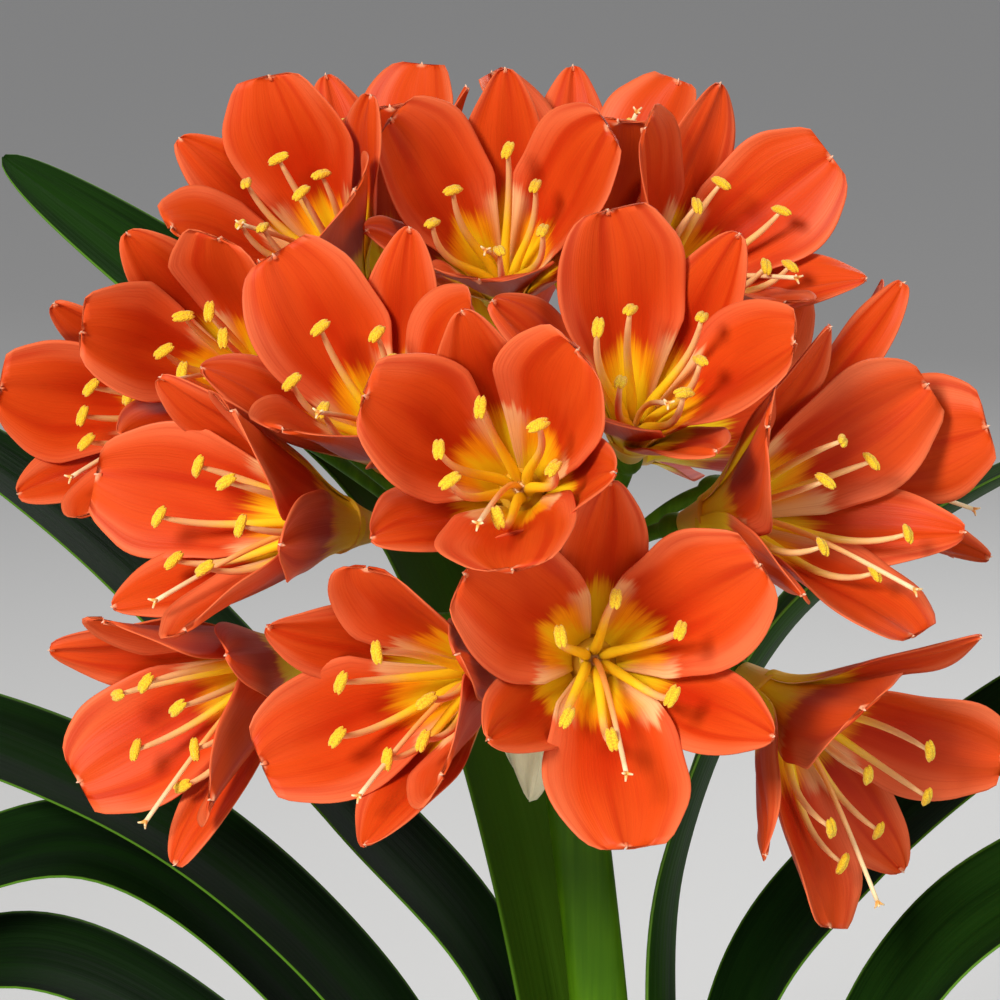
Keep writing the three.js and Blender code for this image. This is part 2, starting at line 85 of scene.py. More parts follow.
def lerp(a: Array | float, b: Array | float, t: Array | float) -> Array:
    """Mixes a and b by t."""
    return a + (b - a) * t


def direction(heading_rise: Sequence[float]) -> Array:
    """Turns a heading and a rise, in degrees, into a unit vector.

    Args:
        heading_rise: the heading from +X towards +Y, and the rise above the floor.

    Returns:
        The unit vector.
    """
    heading, lift = np.radians(heading_rise)
    flat = math.cos(lift)
    return np.array([flat * math.cos(heading), flat * math.sin(heading), math.sin(lift)])


def around(degrees: float, distance: float, height: float = 0.0) -> Array:
    """Gives a point at a distance from the Z axis and at a height."""
    turn = math.radians(degrees)
    return np.array([math.cos(turn) * distance, math.sin(turn) * distance, height])


def spoke(degrees: float) -> tuple[Array, Array]:
    """Gives the level directions away from the Z axis and sideways, at a turn about it."""
    out = around(degrees, 1.0)
    return out, np.array([-out[1], out[0], 0.0])


def draw(seed: float) -> float:
    """Draws a number between -1 and 1 that is the same on every run."""
    s = math.sin(seed * 12.9898 + 78.233) * 43758.5453
    return 2 * (s - math.floor(s)) - 1


def unit(v: Array) -> Array:
    """Scales a vector, or each row of an array, to length 1."""
    return v / np.linalg.norm(v, axis=-1, keepdims=True)


def times(vectors: Array, amounts: Array) -> Array:
    """Scales a vector, or each of several, by an array of numbers."""
    return vectors * amounts[..., None]


def close_at_rims(count: int, power: float) -> Array:
    """Spaces numbers from -1 to 1, closer together at both ends."""
    v = np.linspace(-1, 1, count)
    return np.sign(v) * (1 - (1 - np.abs(v)) ** power)


def close_at_tip(count: int, power: float) -> Array:
    """Spaces numbers from 0 to 1, closer together at the end."""
    return 1 - (1 - np.linspace(0, 1, count)) ** power


def bezier(points: Sequence[Array], t: Array) -> Array:
    """Places t along a cubic curve.

    Args:
        points: the four control points.
        t: where along the curve, 0 to 1.

    Returns:
        One point for each t.
    """
    a, b, c, d = points
    t = t[:, None]
    return a * (1 - t) ** 3 + 3 * b * t * (1 - t) ** 2 + 3 * c * t * t * (1 - t) + d * t**3


def catmull(points: Sequence[Point], count: int) -> Array:
    """Samples a centripetal Catmull-Rom curve through points, evenly by length.

    Args:
        points: what the curve passes through.
        count: how many samples to return.

    Returns:
        The samples, one a row.
    """
    stations = 24
    p = [np.asarray(q, float) for q in points]
    p = [2 * p[0] - p[1], *p, 2 * p[-1] - p[-2]]
    dense: list[Array] = []
    for a, b, c, d in zip(p, p[1:], p[2:], p[3:]):
        k = [max(np.linalg.norm(v) ** 0.5, 1e-4) for v in (b - a, c - b, d - c)]
        m1 = ((b - a) / k[0] - (c - a) / (k[0] + k[1]) + (c - b) / k[1]) * k[1]
        m2 = ((c - b) / k[1] - (d - b) / (k[1] + k[2]) + (d - c) / k[2]) * k[1]
        for u in np.linspace(0, 1, stations, endpoint=False):
            here = b * (2 * u**3 - 3 * u * u + 1) + m1 * (u**3 - 2 * u * u + u)
            dense.append(here + c * (3 * u * u - 2 * u**3) + m2 * (u**3 - u * u))
    dense.append(p[-2])
    line = np.array(dense)
    reach = np.concatenate([[0], np.cumsum(np.linalg.norm(np.diff(line, axis=0), axis=1))])
    at = np.linspace(0, reach[-1], count)
    return np.stack([np.interp(at, reach, line[:, i]) for i in range(3)], axis=1)


def bowed(
    middle: Array, inward: Array, side: Array, bend: Array, angle: Array, lift: Array
) -> tuple[Array, Array]:
    """Bends a blade's cross-section into a channel.

    Args:
        middle: the blade's middle line at each place.
        inward: the way that the channel opens.
        side: the way across the blade.
        bend: the channel's radius.
        angle: how far round the channel each place lies.
        lift: how far each place is moved inward.

    Returns:
        Points and unit normals.
    """
    point = middle + times(inward, bend * (1 - np.cos(angle)) + lift)
    point = point + times(side, bend * np.sin(angle))
    return point, times(inward, np.cos(angle)) - times(side, np.sin(angle))


# ------------------------------------------------------------------ meshes


def ring_faces(rings: int, sides: int, start: int = 0, looped: bool = False) -> list[Face]:
    """Joins neighbouring rings of points with quads.

    Args:
        rings: how many rings there are.
        sides: points in each ring.
        start: the index of the first point.
        looped: whether the last ring joins the first.

    Returns:
        The faces.
    """
    faces: list[Face] = []
    for i in range(rings if looped else rings - 1):
        low, high = start + i * sides, start + (i + 1) % rings * sides
        for k in range(sides):
            after = (k + 1) % sides
            faces.append((low + k, low + after, high + after, high + k))
    return faces


def outward(points: Array, quads: list[Face]) -> list[Face]:
    """Turns the quads of a closed shell round if it is inside out.

    Args:
        points: the shell's points.
        quads: its faces.

    Returns:
        The faces, seen from outside.
    """
    a, b, c, d = np.moveaxis(points[np.array(quads)], 1, 0)
    volume = np.sum(a * (np.cross(b, c) + np.cross(c, d)))
    return [quad[::-1] for quad in quads] if volume < 0 else quads


class Part:
    """Collects closed shells and makes them one named mesh."""

    def __init__(self, name: str) -> None:
        """Starts an empty part.

        Args:
            name: the name of the piece.
        """
        self.name = name
        self.points: list[Array] = []
        self.faces: list[Face] = []
        self.corners: list[Array] = []
        self.finishes: list[int] = []
        self.materials: list[Material] = []

    def shell(
        self, points: Array, faces: Sequence[Face], places: Array, material: Material
    ) -> None:
        """Adds a closed shell.

        Args:
            points: its points, in millimetres.
            faces: its faces, as indices into points.
            places: a pair of surface coordinates for each point.
            material: its finish.
        """
        start = sum(len(p) for p in self.points)
        if material not in self.materials:
            self.materials.append(material)
        self.points.append(points)
        self.faces += [tuple(start + i for i in face) for face in faces]
        self.corners.append(places[[i for face in faces for i in face]])
        self.finishes += [self.materials.index(material)] * len(faces)

    def rings(
        self, points: Sequence[Array], places: Sequence[Span], sides: int, material: Material,
        looped: bool = False,
    ) -> None:
        """Adds a closed shell from rings of points.

        Args:
            points: the points, ring after ring.
            places: a pair of surface coordinates for each point.
            sides: points in each ring.
            material: its finish.
            looped: whether the last ring joins the first, in place of a cap at each end.
        """
        count = len(points) // sides
        faces = ring_faces(count, sides, looped=looped)
        if not looped:
            first, last = tuple(range(sides)), (count - 1) * sides
            faces += [first[::-1], tuple(last + k for k in first)]
        self.shell(np.array(points), faces, np.array(places), material)

    def sheet(
        self, across: Array, along: Array, surface: Surface, thick: Depth, material: Material,
        shift: float,
    ) -> None:
        """Adds a thin closed blade on a surface.

        Args:
            across: the values of q, from -1 to 1.
            along: the values of t, from root to tip.
            surface: gives points and unit normals for arrays of t and q.
            thick: gives the full thickness for arrays of t and q.
            material: its finish.
            shift: added to the first surface coordinate, to vary the finish.
        """
        t, q = np.meshgrid(along, across, indexing="ij")
        middle, normal = surface(t, q)
        half = times(normal, 0.5 * thick(t, q))
        points = np.concatenate([(middle + half).reshape(-1, 3), (middle - half).reshape(-1, 3)])
        place = np.stack([0.5 + 0.5 * q + shift, t], axis=-1).reshape(-1, 2)
        rows, wide = t.shape
        size, last = rows * wide, (rows - 1) * wide
        faces: list[Face] = []
        for i in range(rows - 1):
            for a in range(i * wide, i * wide + wide - 1):
                b, c, d = a + 1, a + 1 + wide, a + wide
                faces.append((a, b, c, d))
                faces.append((a + size, d + size, c + size, b + size))
        rim = [*range(wide - 1), *range(wide - 1, last, wide)]
        rim += [*range(last + wide - 1, last, -1), *range(last, 0, -wide)]
        for a, b in zip(rim, rim[1:] + rim[:1]):
            faces.append((a, a + size, b + size, b))
        self.shell(points, outward(points, faces), np.concatenate([place, place]), material)

    def tube(
        self, line: Array, radii: Array, sides: int, material: Material, flat: float = 1.0,
        shift: float = 0.0,
    ) -> None:
        """Adds a closed round tube along a line.

        Args:
            line: its centres.
            radii: its radius at each centre.
            sides: points around.
            material: its finish.
            flat: the second half-width as a share of the first.
            shift: added to the first surface coordinate, to vary the finish.
        """
        steep = 0.9
        tangent = unit(np.gradient(line, axis=0))
        start = UP if abs(tangent[0][2]) < steep else np.array([1.0, 0.0, 0.0])
        across = unit(np.cross(tangent[0], start))
        points, places = [], []
        for i, (centre, ahead) in enumerate(zip(line, tangent)):
            across = unit(across - ahead * float(across @ ahead))
            aside = np.cross(ahead, across) * flat
            for k in range(sides):
                turn = 2 * math.pi * k / sides
                out = across * math.cos(turn) + aside * math.sin(turn)
                points.append(centre + radii[i] * out)
                places.append((k / sides + shift, i / (len(line) - 1)))
        self.rings(points, places, sides, material)

    def turned(
        self, profile: Sequence[Span], sides: int, material: Material,
        lift: Callable[[Array, Array, Array], Array] | None = None,
    ) -> None:
        """Adds a turned closed form about the Z axis.

        Args:
            profile: pairs of radius and height, first and last on the axis.
            sides: points around.
            material: its finish.
            lift: gives the new points from x, y and z, to make the form uneven.
        """
        inner = profile[1:-1]
        points, places = [UP * profile[0][1]], [(0.0, 0.0)]
        for i, (radius, height) in enumerate(inner):
            for k in range(sides):
                points.append(around(360 * k / sides, radius, height))
                places.append((k / sides, i / len(inner)))
        end = len(points)
        points.append(UP * profile[-1][1])
        places.append((0.0, 1.0))
        faces = ring_faces(len(inner), sides, start=1)
        for k in range(sides):
            after = (k + 1) % sides
            faces.append((0, 1 + after, 1 + k))
            faces.append((end - sides + k, end - sides + after, end))
        body = np.array(points)
        if lift:
            body = lift(*body.T)
        self.shell(body, faces, np.array(places), material)

    def move(self, frame: Array, origin: Array) -> None:
        """Turns and moves all points so far.

        Args:
            frame: the three axes of the part, as columns.
            origin: where its own origin goes.
        """
        self.points = [p @ frame.T + origin for p in self.points]

    def build(self, slot: str, *nodes: str) -> bpy.types.Object:
        """Makes the mesh object and lets it stand for CAD nodes.

        Args:
            slot: not used.
            nodes: the CAD nodes that it replaces.

        Returns:
            The new object.
        """
        mesh = bpy.data.meshes.new(self.name)
        mesh.from_pydata((np.concatenate(self.points) * METRES).tolist(), [], self.faces)
        for material in self.materials:
            mesh.materials.append(material)
        mesh.polygons.foreach_set("material_index", self.finishes)
        mesh.polygons.foreach_set("use_smooth", [True] * len(self.faces))
        layer = mesh.uv_layers.new(name=BLADE_MAP)
        layer.data.foreach_set("uv", np.concatenate(self.corners).ravel())
        mesh.update()
        piece = bpy.data.objects.new(self.name, mesh)
        bpy.context.scene.collection.objects.link(piece)
        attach(piece, "root")
        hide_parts(*nodes)
        LOG.info("%s: %d triangles", self.name, sum(len(face) - 2 for face in self.faces))
        return piece


# ------------------------------------------------------------------ shader expressions


class Shade:
    """A node tree that Python expressions write into."""

    def __init__(self, name: str) -> None:
        """Starts a material with an empty tree.

        Args:
            name: the name of the material.
        """
        self.material = bpy.data.materials.new(name)
        self.material.use_nodes = True
        self.tree = self.material.node_tree
        self.tree.nodes.clear()

    def node(
        self, kind: str, settings: dict[str, Any], inputs: dict[str | int, Any]
    ) -> bpy.types.Node:
        """Adds a node.

        Args:
            kind: its type, without the ShaderNode prefix.
            settings: attributes, set first.
            inputs: values or sockets by name or index.

        Returns:
            The node.
        """
        made = self.tree.nodes.new("ShaderNode" + kind)
        for key, value in settings.items():
            setattr(made, key, value)
        for key, value in inputs.items():
            self.feed(made.inputs[key], value)
        return made

    def feed(self, socket: bpy.types.NodeSocket, value: Any) -> None:
        """Links a wrapped socket, or sets a plain value.

        Args:
            socket: the socket to fill.
            value: a wrapped socket, a colour or a number.
        """
        if isinstance(value, Sock):
            self.tree.links.new(value.out, socket)
        elif isinstance(value, tuple) and len(value) == 3 and socket.type == "RGBA":
            socket.default_value = (*value, 1)
        else:
            socket.default_value = value

    def split(self, vector: Sock) -> tuple[Sock, ...]:
        """Takes a vector apart into its three numbers."""
        parts = self.node("SeparateXYZ", {}, {0: vector})
        return tuple(Sock(self, out) for out in parts.outputs)

    def place(self) -> tuple[Sock, Sock]:
        """Gives the surface coordinates: across and along.

        Returns:
            The two coordinates.
        """
        source = self.node("UVMap", {"uv_map": BLADE_MAP}, {})
        across, along, _ = self.split(Sock(self, source.outputs["UV"]))
        return across, along

    def own(self) -> Sock:
        """Gives the object's own coordinates."""
        return Sock(self, self.node("TexCoord", {}, {}).outputs["Object"])

    def vector(self, x: Any, y: Any, z: Any) -> Sock:
        """Joins three numbers to a vector."""
        return Sock(self, self.node("CombineXYZ", {}, {0: x, 1: y, 2: z}).outputs[0])

    def noise(self, where: Sock, scale: float, detail: float, rough: float = 0.5) -> Sock:
        """Gives soft noise around 0.5."""
        inputs = {"Vector": where, "Scale": scale, "Detail": detail, "Roughness": rough}
        return Sock(self, self.node("TexNoise", {}, inputs).outputs["Fac"])

    def grain(
        self, place: tuple[Sock, Sock], cuts: Point, detail: float, rough: float = 0.5
    ) -> Sock:
        """Gives noise drawn out along a surface.

        Args:
            place: the surface coordinates.
            cuts: how often it changes across and along, and which noise it is.
            detail: how many finer noises are laid over it.
            rough: how strong those are.

        Returns:
            The noise, around 0.5.
        """
        across, along = place
        where = self.vector(across * cuts[0], along * cuts[1], cuts[2])
        return self.noise(where, 1.0, detail, rough)

    def cells(self, where: Sock, scale: float) -> Sock:
        """Gives the distance to the nearest of scattered points."""
        made = self.node("TexVoronoi", {}, {"Vector": where, "Scale": scale})
        return Sock(self, made.outputs["Distance"])

    def step(self, value: Sock, low: float, high: float) -> Sock:
        """Eases from 0 at low to 1 at high.

        Args:
            value: what is eased.
            low: where it starts.
            high: where it ends.

        Returns:
            The eased value.
        """
        settings = {"interpolation_type": "SMOOTHSTEP"}
        made = self.node("MapRange", settings, {0: value, 1: low, 2: high, 3: 0.0, 4: 1.0})
        return Sock(self, made.outputs[0])

    def fall(self, value: Sock, low: float, high: float) -> Sock:
        """Eases from 1 at low to 0 at high."""
        return 1.0 - self.step(value, low, high)

    def mix(self, share: Any, a: Any, b: Any) -> Sock:
        """Mixes two colours."""
        made = self.node("Mix", {"data_type": "RGBA"}, {0: share, 6: a, 7: b})
        return Sock(self, made.outputs[2])

    def bump(self, height: Sock, distance: float, strength: float) -> Sock:
        """Turns heights into normals; distance is in metres."""
        inputs = {"Height": height, "Distance": distance, "Strength": strength}
        return Sock(self, self.node("Bump", {}, inputs).outputs[0])

    def finish(self, **inputs: Any) -> Material:
        """Closes the tree with one surface shader.

        Args:
            inputs: its sockets, with _ for the spaces in their names.

        Returns:
            The material.
        """
        named = {key.replace("_", " "): value for key, value in inputs.items()}
        surface = self.node("BsdfPrincipled", {}, named)
        output = self.node("OutputMaterial", {}, {})
        self.tree.links.new(surface.outputs[0], output.inputs["Surface"])
        return self.material


@dataclass(frozen=True)
class Sock:
    """A socket that the usual operators work on."""

    shade: Shade
    out: bpy.types.NodeSocket

    def _math(self, operation: str, *values: Any) -> Sock:
        """Adds a Math node on this and other values."""
        made = self.shade.node("Math", {"operation": operation}, dict(enumerate(values)))
        return Sock(self.shade, made.outputs[0])

    def __add__(self, other: Any) -> Sock:
        """Adds."""
        return self._math("ADD", self, other)

    __radd__ = __add__

    def __sub__(self, other: Any) -> Sock:
        """Subtracts."""
        return self._math("SUBTRACT", self, other)

    def __rsub__(self, other: Any) -> Sock:
        """Subtracts from a number."""
        return self._math("SUBTRACT", other, self)

    def __mul__(self, other: Any) -> Sock:
        """Multiplies."""
        return self._math("MULTIPLY", self, other)

    __rmul__ = __mul__

    def __abs__(self) -> Sock:
        """Drops the sign."""
        return self._math("ABSOLUTE", self)

    def fraction(self) -> Sock:
        """Keeps what follows the point."""
        return self._math("FRACT", self)

    def wave(self) -> Sock:
        """Gives the sine."""
        return self._math("SINE", self)

    def swing(self, amount: float) -> Sock:
        """Moves a noise from around 0.5 to around 0, and scales it."""
        return (self - 0.5) * amount


# ------------------------------------------------------------------ finishes


@dataclass(frozen=True)
class PetalFinish:
    """A petal: orange with a yellow throat edged in white, painted shade down its middle and in
    its folds, and a painted sheen towards its margins.
    """

    lit: Rgb = (0.68, 0.068, 0.006)
    # the petal's deeper red, also used for painted shade down its middle and in its folds
    deep: Rgb = (0.50, 0.020, 0.001)
    # painted sheen: a pale salmon that lightens the margins, standing in for light glancing off
    # them
    painted_sheen: Rgb = (0.82, 0.170, 0.060)
    throat: Rgb = (0.93, 0.64, 0.010)
    gold: Rgb = (0.93, 0.38, 0.005)
    pale: Rgb = (0.90, 0.56, 0.25)
    tip: Rgb = (0.88, 0.38, 0.20)
    throat_end: Span = (0.35, 0.48)
    gold_end: Span = (0.41, 0.51)
    pale_end: Span = (0.45, 0.51)
    pale_side: Span = (0.50, 0.90)
    tip_start: Span = (0.980, 0.996)

    def make(self) -> Material:
        """Builds the material.

        Returns:
            The petals' finish.
        """
        s = Shade("petal_orange")
        across, t = place = s.place()
        u = across.fraction()
        own = across - u
        q = abs(u - 0.5) * 2.0
        outer = (own * 0.5).fraction() * 2.0
        each = s.noise(s.vector(own * 0.73, 0.0, 8.0), 1.0, 0.0)
        streaks = s.grain(place, (34.0, 2.2, 0.0), 2.0, 0.6)
        veins = s.grain(place, (70.0, 3.0, 1.0), 1.0)
        broad = s.grain(place, (3.0, 2.0, 4.0), 1.0)
        teeth = s.grain(place, (13.0, 1.2, 6.0), 1.0)
        folds = s.grain(place, (6.0, 1.2, 12.0), 1.0)
        frayed = t + streaks.swing(0.12) + teeth.swing(0.13) + broad.swing(0.10)

        # painted shade: the middle is darkened, most towards the foot, as if shaded
        middle = s.fall(q, 0.1, 0.95) * s.fall(t, 0.55, 1.0) * s.step(broad, 0.2, 0.65)
        # painted sheen: the margins are lightened as if they caught the light
        margin = s.step(q + broad.swing(0.9), 0.55, 1.0)
        sides = s.step(q + each.swing(0.5), *self.pale_side) * (1.0 - outer * 0.85)
        pale = s.fall(frayed, *self.pale_end) * sides
        gold = s.fall(frayed + q * 0.08, *self.gold_end)
        narrow = q * (0.24 - outer * 0.2)
        throat = s.fall(frayed + narrow + each.swing(0.1), *self.throat_end)
        tip = s.step(t, *self.tip_start) * s.fall(q, 0.15, 0.45)

        colour = s.mix(middle * 0.9, self.lit, self.deep)
        colour = s.mix(margin * 0.75, colour, self.painted_sheen)
        # painted shade: the folds are darkened as if shaded in their creases
        colour = s.mix(s.step(folds, 0.50, 0.72) * 0.65, colour, self.deep)
        colour = s.mix(pale * 0.92, colour, self.pale)
        colour = s.mix(gold * (1.0 - pale * 0.85), colour, self.gold)
        colour = s.mix(throat, colour, self.throat)
        colour = s.mix(tip * 0.9, colour, self.tip)
        colour = s.mix(s.step(veins, 0.45, 0.80) * 0.28 * (1.0 - throat), colour, self.deep)
        ribs = (u * 62.8).wave()
        height = veins * 0.5 + ribs * 0.08 + folds * 1.2
        return s.finish(
            Base_Color=colour, Roughness=0.50 + veins.swing(0.12),
            Normal=s.bump(height, 0.00025, 0.6), Specular_IOR_Level=0.16,
        )


@dataclass(frozen=True)
class FadeFinish:
    """A small soft part of the flower, whose colour fades along it over a fine grain.

    The grain is given as in Shade.grain, the fade and its fraying in t, and the relief as the
    distance and strength of a bump.
    """

    name: str
    foot: Rgb
    top: Rgb
    grain: Point
    fade: Span
    fray: float
    roughness: float
    relief: Span
    glow: Rgb
    detail: float = 2.0
    glow_weight: float = 0.12
    glow_reach: float = 0.003

    def make(self) -> Material:
        """Builds the material.

        Returns:
            The finish, named for its part.
        """
        s = Shade(self.name)
        place = s.place()
        grain = s.grain(place, self.grain, self.detail)
        faded = s.step(place[1] + grain.swing(self.fray), *self.fade)
        return s.finish(
            Base_Color=s.mix(faded, self.foot, self.top), Roughness=self.roughness,
            Normal=s.bump(grain, *self.relief), Subsurface_Weight=self.glow_weight,
            Subsurface_Scale=self.glow_reach, Subsurface_Radius=self.glow,
        )


class Fade(Enum):
    """The flower's small parts: its tube, filaments and style, and the points of its petals."""

    TUBE = FadeFinish(
        "floral_tube", foot=(0.62, 0.42, 0.03), top=(0.86, 0.44, 0.020), grain=(30.0, 1.5, 0.0),
        fade=(0.2, 1.1), fray=0.5, roughness=0.5, relief=(0.0002, 0.5), glow=(1.0, 0.5, 0.15),
        detail=3.0, glow_weight=0.10,
    )
    FILAMENT = FadeFinish(
        "filament", foot=(0.98, 0.68, 0.015), top=(0.97, 0.58, 0.24), grain=(8.0, 20.0, 0.0),
        fade=(0.45, 0.90), fray=0.2, roughness=0.42, relief=(0.0001, 0.4), glow=(1.0, 0.6, 0.25),
    )
    STYLE = FadeFinish(
        "style", foot=(0.95, 0.44, 0.10), top=(0.96, 0.72, 0.40), grain=(6.0, 16.0, 2.0),
        fade=(0.5, 1.0), fray=0.2, roughness=0.4, relief=(0.0001, 0.4), glow=(1.0, 0.6, 0.3),
    )
    NIB = FadeFinish(
        "petal_nib", foot=(0.80, 0.17, 0.05), top=(0.90, 0.52, 0.34), grain=(5.0, 9.0, 5.0),
        fade=(0.2, 0.75), fray=0.3, roughness=0.55, relief=(0.0001, 0.5), glow=(1.0, 0.7, 0.5),
        glow_weight=0.10, glow_reach=0.002,
    )


@dataclass(frozen=True)
class PollenFinish:
    """Yellow anthers, dusty and finely grained."""

    light: Rgb = (0.96, 0.66, 0.012)
    shade: Rgb = (0.82, 0.44, 0.004)

    def make(self) -> Material:
        """Builds the anthers' material.

        Returns:
            The anthers' finish.
        """
        s = Shade("pollen")
        grains = s.cells(s.own(), 2600.0)
        colour = s.mix(s.step(grains, 0.25, 0.75), self.light, self.shade)
        dust = s.bump(1.0 - grains, 0.0003, 0.8)
        return s.finish(Base_Color=colour, Roughness=0.85, Normal=dust, Sheen_Weight=0.2)


@dataclass(frozen=True)
class LeafFinish:
    """A strap leaf: dark green, with fine long veins and bright thin margins."""

    name: str = "leaf_dark"
    dark: Rgb = (0.002, 0.009, 0.001)
    light: Rgb = (0.005, 0.022, 0.002)
    margin: Rgb = (0.07, 0.18, 0.012)
    foot: Rgb = (0.30, 0.40, 0.12)
    foot_end: Span = (0.02, 0.28)

    def make(self) -> Material:
        """Builds the leaf's material.

        Returns:
            The finish, named for its tone.
        """
        s = Shade(self.name)
        across, t = place = s.place()
        q = abs(across.fraction() - 0.5) * 2.0
        fine = s.grain(place, (80.0, 4.0, 0.0), 2.0)
        broad = s.grain(place, (4.0, 6.0, 3.0), 3.0)
        colour = s.mix(s.step(broad * 0.6 + fine * 0.4, 0.35, 0.65), self.dark, self.light)
        colour = s.mix(s.fall(q, 0.0, 0.10) * 0.5, colour, self.light)
        colour = s.mix(s.step(q, 0.955, 0.985), colour, self.margin)
        colour = s.mix(s.fall(t, *self.foot_end) * 0.8, colour, self.foot)
        ribs = (across * 96.0).wave()
        height = ribs * 0.12 + fine * 0.5 + broad * 0.5
        return s.finish(
            Base_Color=colour, Roughness=0.62 + broad.swing(0.16),
            Normal=s.bump(height, 0.0003, 0.5), Specular_IOR_Level=0.06,
        )


class Tone(Enum):
    """The four greens of the leaves; the lightest is painted light, as if its leaf were lit from
    behind.
    """

    DARK = LeafFinish()
    YOUNG = LeafFinish(
        "leaf_young", (0.004, 0.018, 0.001), (0.010, 0.042, 0.003), (0.09, 0.22, 0.02),
        foot=(0.050, 0.125, 0.004), foot_end=(0.45, 0.85),
    )
    MID = LeafFinish(
        "leaf_mid", (0.003, 0.014, 0.001), (0.010, 0.040, 0.003), (0.09, 0.22, 0.02)
    )
    # painted light: a lighter copy of the leaf green, standing in for light shining through the
    # leaf
    PAINTED_BACKLIGHT = LeafFinish(
        "leaf_painted_backlight", (0.008, 0.034, 0.002), (0.024, 0.082, 0.005), (0.12, 0.27, 0.03)
    )


@dataclass(frozen=True)
class StemFinish:
    """The stalk and pedicels: fresh green with long faint ribs."""

    dark: Rgb = (0.034, 0.105, 0.001)
    light: Rgb = (0.070, 0.180, 0.002)

    def make(self) -> Material:
        """Builds the stalk's material.

        Returns:
            The stalk's finish.
        """
        s = Shade("stalk_green")
        where = s.own()
        x, y, z = s.split(where)
        grain = s.noise(s.vector(x * 420.0, y * 420.0, z * 14.0), 1.0, 3.0)
        patches = s.noise(where, 26.0, 2.0)
        colour = s.mix(s.step(grain * 0.5 + patches * 0.5, 0.35, 0.66), self.dark, self.light)
        return s.finish(
            Base_Color=colour, Roughness=0.55 + patches.swing(0.15),
            Normal=s.bump(grain, 0.0003, 0.6), Subsurface_Weight=0.10, Subsurface_Scale=0.003,
            Subsurface_Radius=(0.4, 1.0, 0.2), Specular_IOR_Level=0.12,
        )


@dataclass(frozen=True)
class BractFinish:
    """Thin papery bracts, cream with brown veins."""

    light: Rgb = (0.95, 0.88, 0.55)
    brown: Rgb = (0.52, 0.40, 0.20)
    green: Rgb = (0.40, 0.50, 0.20)

    def make(self) -> Material:
        """Builds the bracts' material.

        Returns:
            The bracts' finish.
        """
        s = Shade("bract_paper")
        _, t = place = s.place()
        lines = s.grain(place, (40.0, 3.0, 0.0), 3.0)
        colour = s.mix(s.step(lines, 0.55, 0.80) * 0.35, self.light, self.brown)
        colour = s.mix(s.fall(t, 0.0, 0.4) * 0.7, colour, self.green)
        return s.finish(
            Base_Color=colour, Roughness=0.6, Normal=s.bump(lines, 0.0004, 0.8),
            Subsurface_Weight=0.12, Subsurface_Scale=0.003, Subsurface_Radius=(1.0, 0.8, 0.4),
        )


@dataclass(frozen=True)
class ClayFinish:
    """Unglazed fired clay with fine grit, turning rings and pale mineral bloom."""

    light: Rgb = (0.56, 0.225, 0.115)
    dark: Rgb = (0.40, 0.135, 0.065)
    bloom: Rgb = (0.66, 0.52, 0.42)

    def make(self) -> Material:
        """Builds the pot's material.

        Returns:
            The pot's finish.
        """
        s = Shade("fired_clay")
        where = s.own()
        _, _, z = s.split(where)
        clouds = s.noise(where, 16.0, 4.0)
        grit = s.noise(where, 900.0, 3.0, 0.7)
        chalk = s.noise(where, 38.0, 5.0, 0.6)
        low = (0.5 - z * 5.0) * 0.22
        rings = (z * 2400.0 + clouds * 6.0).wave()
        colour = s.mix(s.step(clouds, 0.35, 0.65), self.dark, self.light)
        colour = s.mix(s.step(grit, 0.58, 0.72) * 0.35, colour, self.dark)
        colour = s.mix(s.step(chalk + low, 0.58, 0.82) * 0.35, colour, self.bloom)
        height = grit * 0.8 + rings * 0.10 + clouds * 0.8
        return s.finish(
            Base_Color=colour, Roughness=0.82 + grit.swing(0.2),
            Normal=s.bump(height, 0.0005, 0.7),
        )


@dataclass(frozen=True)
class SoilFinish:
    """Moist bark and peat with a few pale grains."""

    dark: Rgb = (0.014, 0.008, 0.005)
    brown: Rgb = (0.075, 0.042, 0.022)
    grain: Rgb = (0.42, 0.37, 0.30)

    def make(self) -> Material:
        """Builds the soil's material.

        Returns:
            The soil's finish.
        """
        s = Shade("potting_soil")
        where = s.own()
        crumbs = s.cells(where, 240.0)
        grains = s.fall(s.cells(where, 150.0), 0.10, 0.16)
        dust = s.noise(where, 700.0, 4.0, 0.7)
        patches = s.noise(where, 60.0, 3.0)
        colour = s.mix(s.step(crumbs + patches.swing(0.6), 0.2, 0.7), self.brown, self.dark)
        colour = s.mix(grains * 0.7, colour, self.grain)
        height = (1.0 - crumbs) + dust * 0.4
        return s.finish(Base_Color=colour, Roughness=0.92, Normal=s.bump(height, 0.0016, 1.0))


@dataclass(frozen=True)
class FloorFinish:
    """The plain pale floor."""

    colour: Rgb = (0.80, 0.80, 0.79)

    def make(self) -> Material:
        """Builds the floor's material."""
        return Shade("floor").finish(Base_Color=self.colour, Roughness=0.7)


# ------------------------------------------------------------------ blooms


@dataclass(frozen=True)
class PetalKind:
    """One whorl's petal: its widths, where it is widest, how round its end is and its lobes."""

    width: float
    widest: float
    round: float
    outset: float
    foot_width: float
    lobe: float

    def breadth(self, t: Array) -> Array:
        """Gives the full width along the petal.

        Args:
            t: places along the petal.

        Returns:
            The width at each place.
        """
        spread = np.sin(np.pi / 2 * np.minimum(t / self.widest, 1)) ** 1.3
        past = np.clip((t - self.widest) / (1 - self.widest), 0, 1)
        ending = self.width * np.maximum(0.05, (1 - past**self.round) ** (1 / self.round))
        return np.where(t < self.widest, lerp(self.foot_width, self.width, spread), ending)


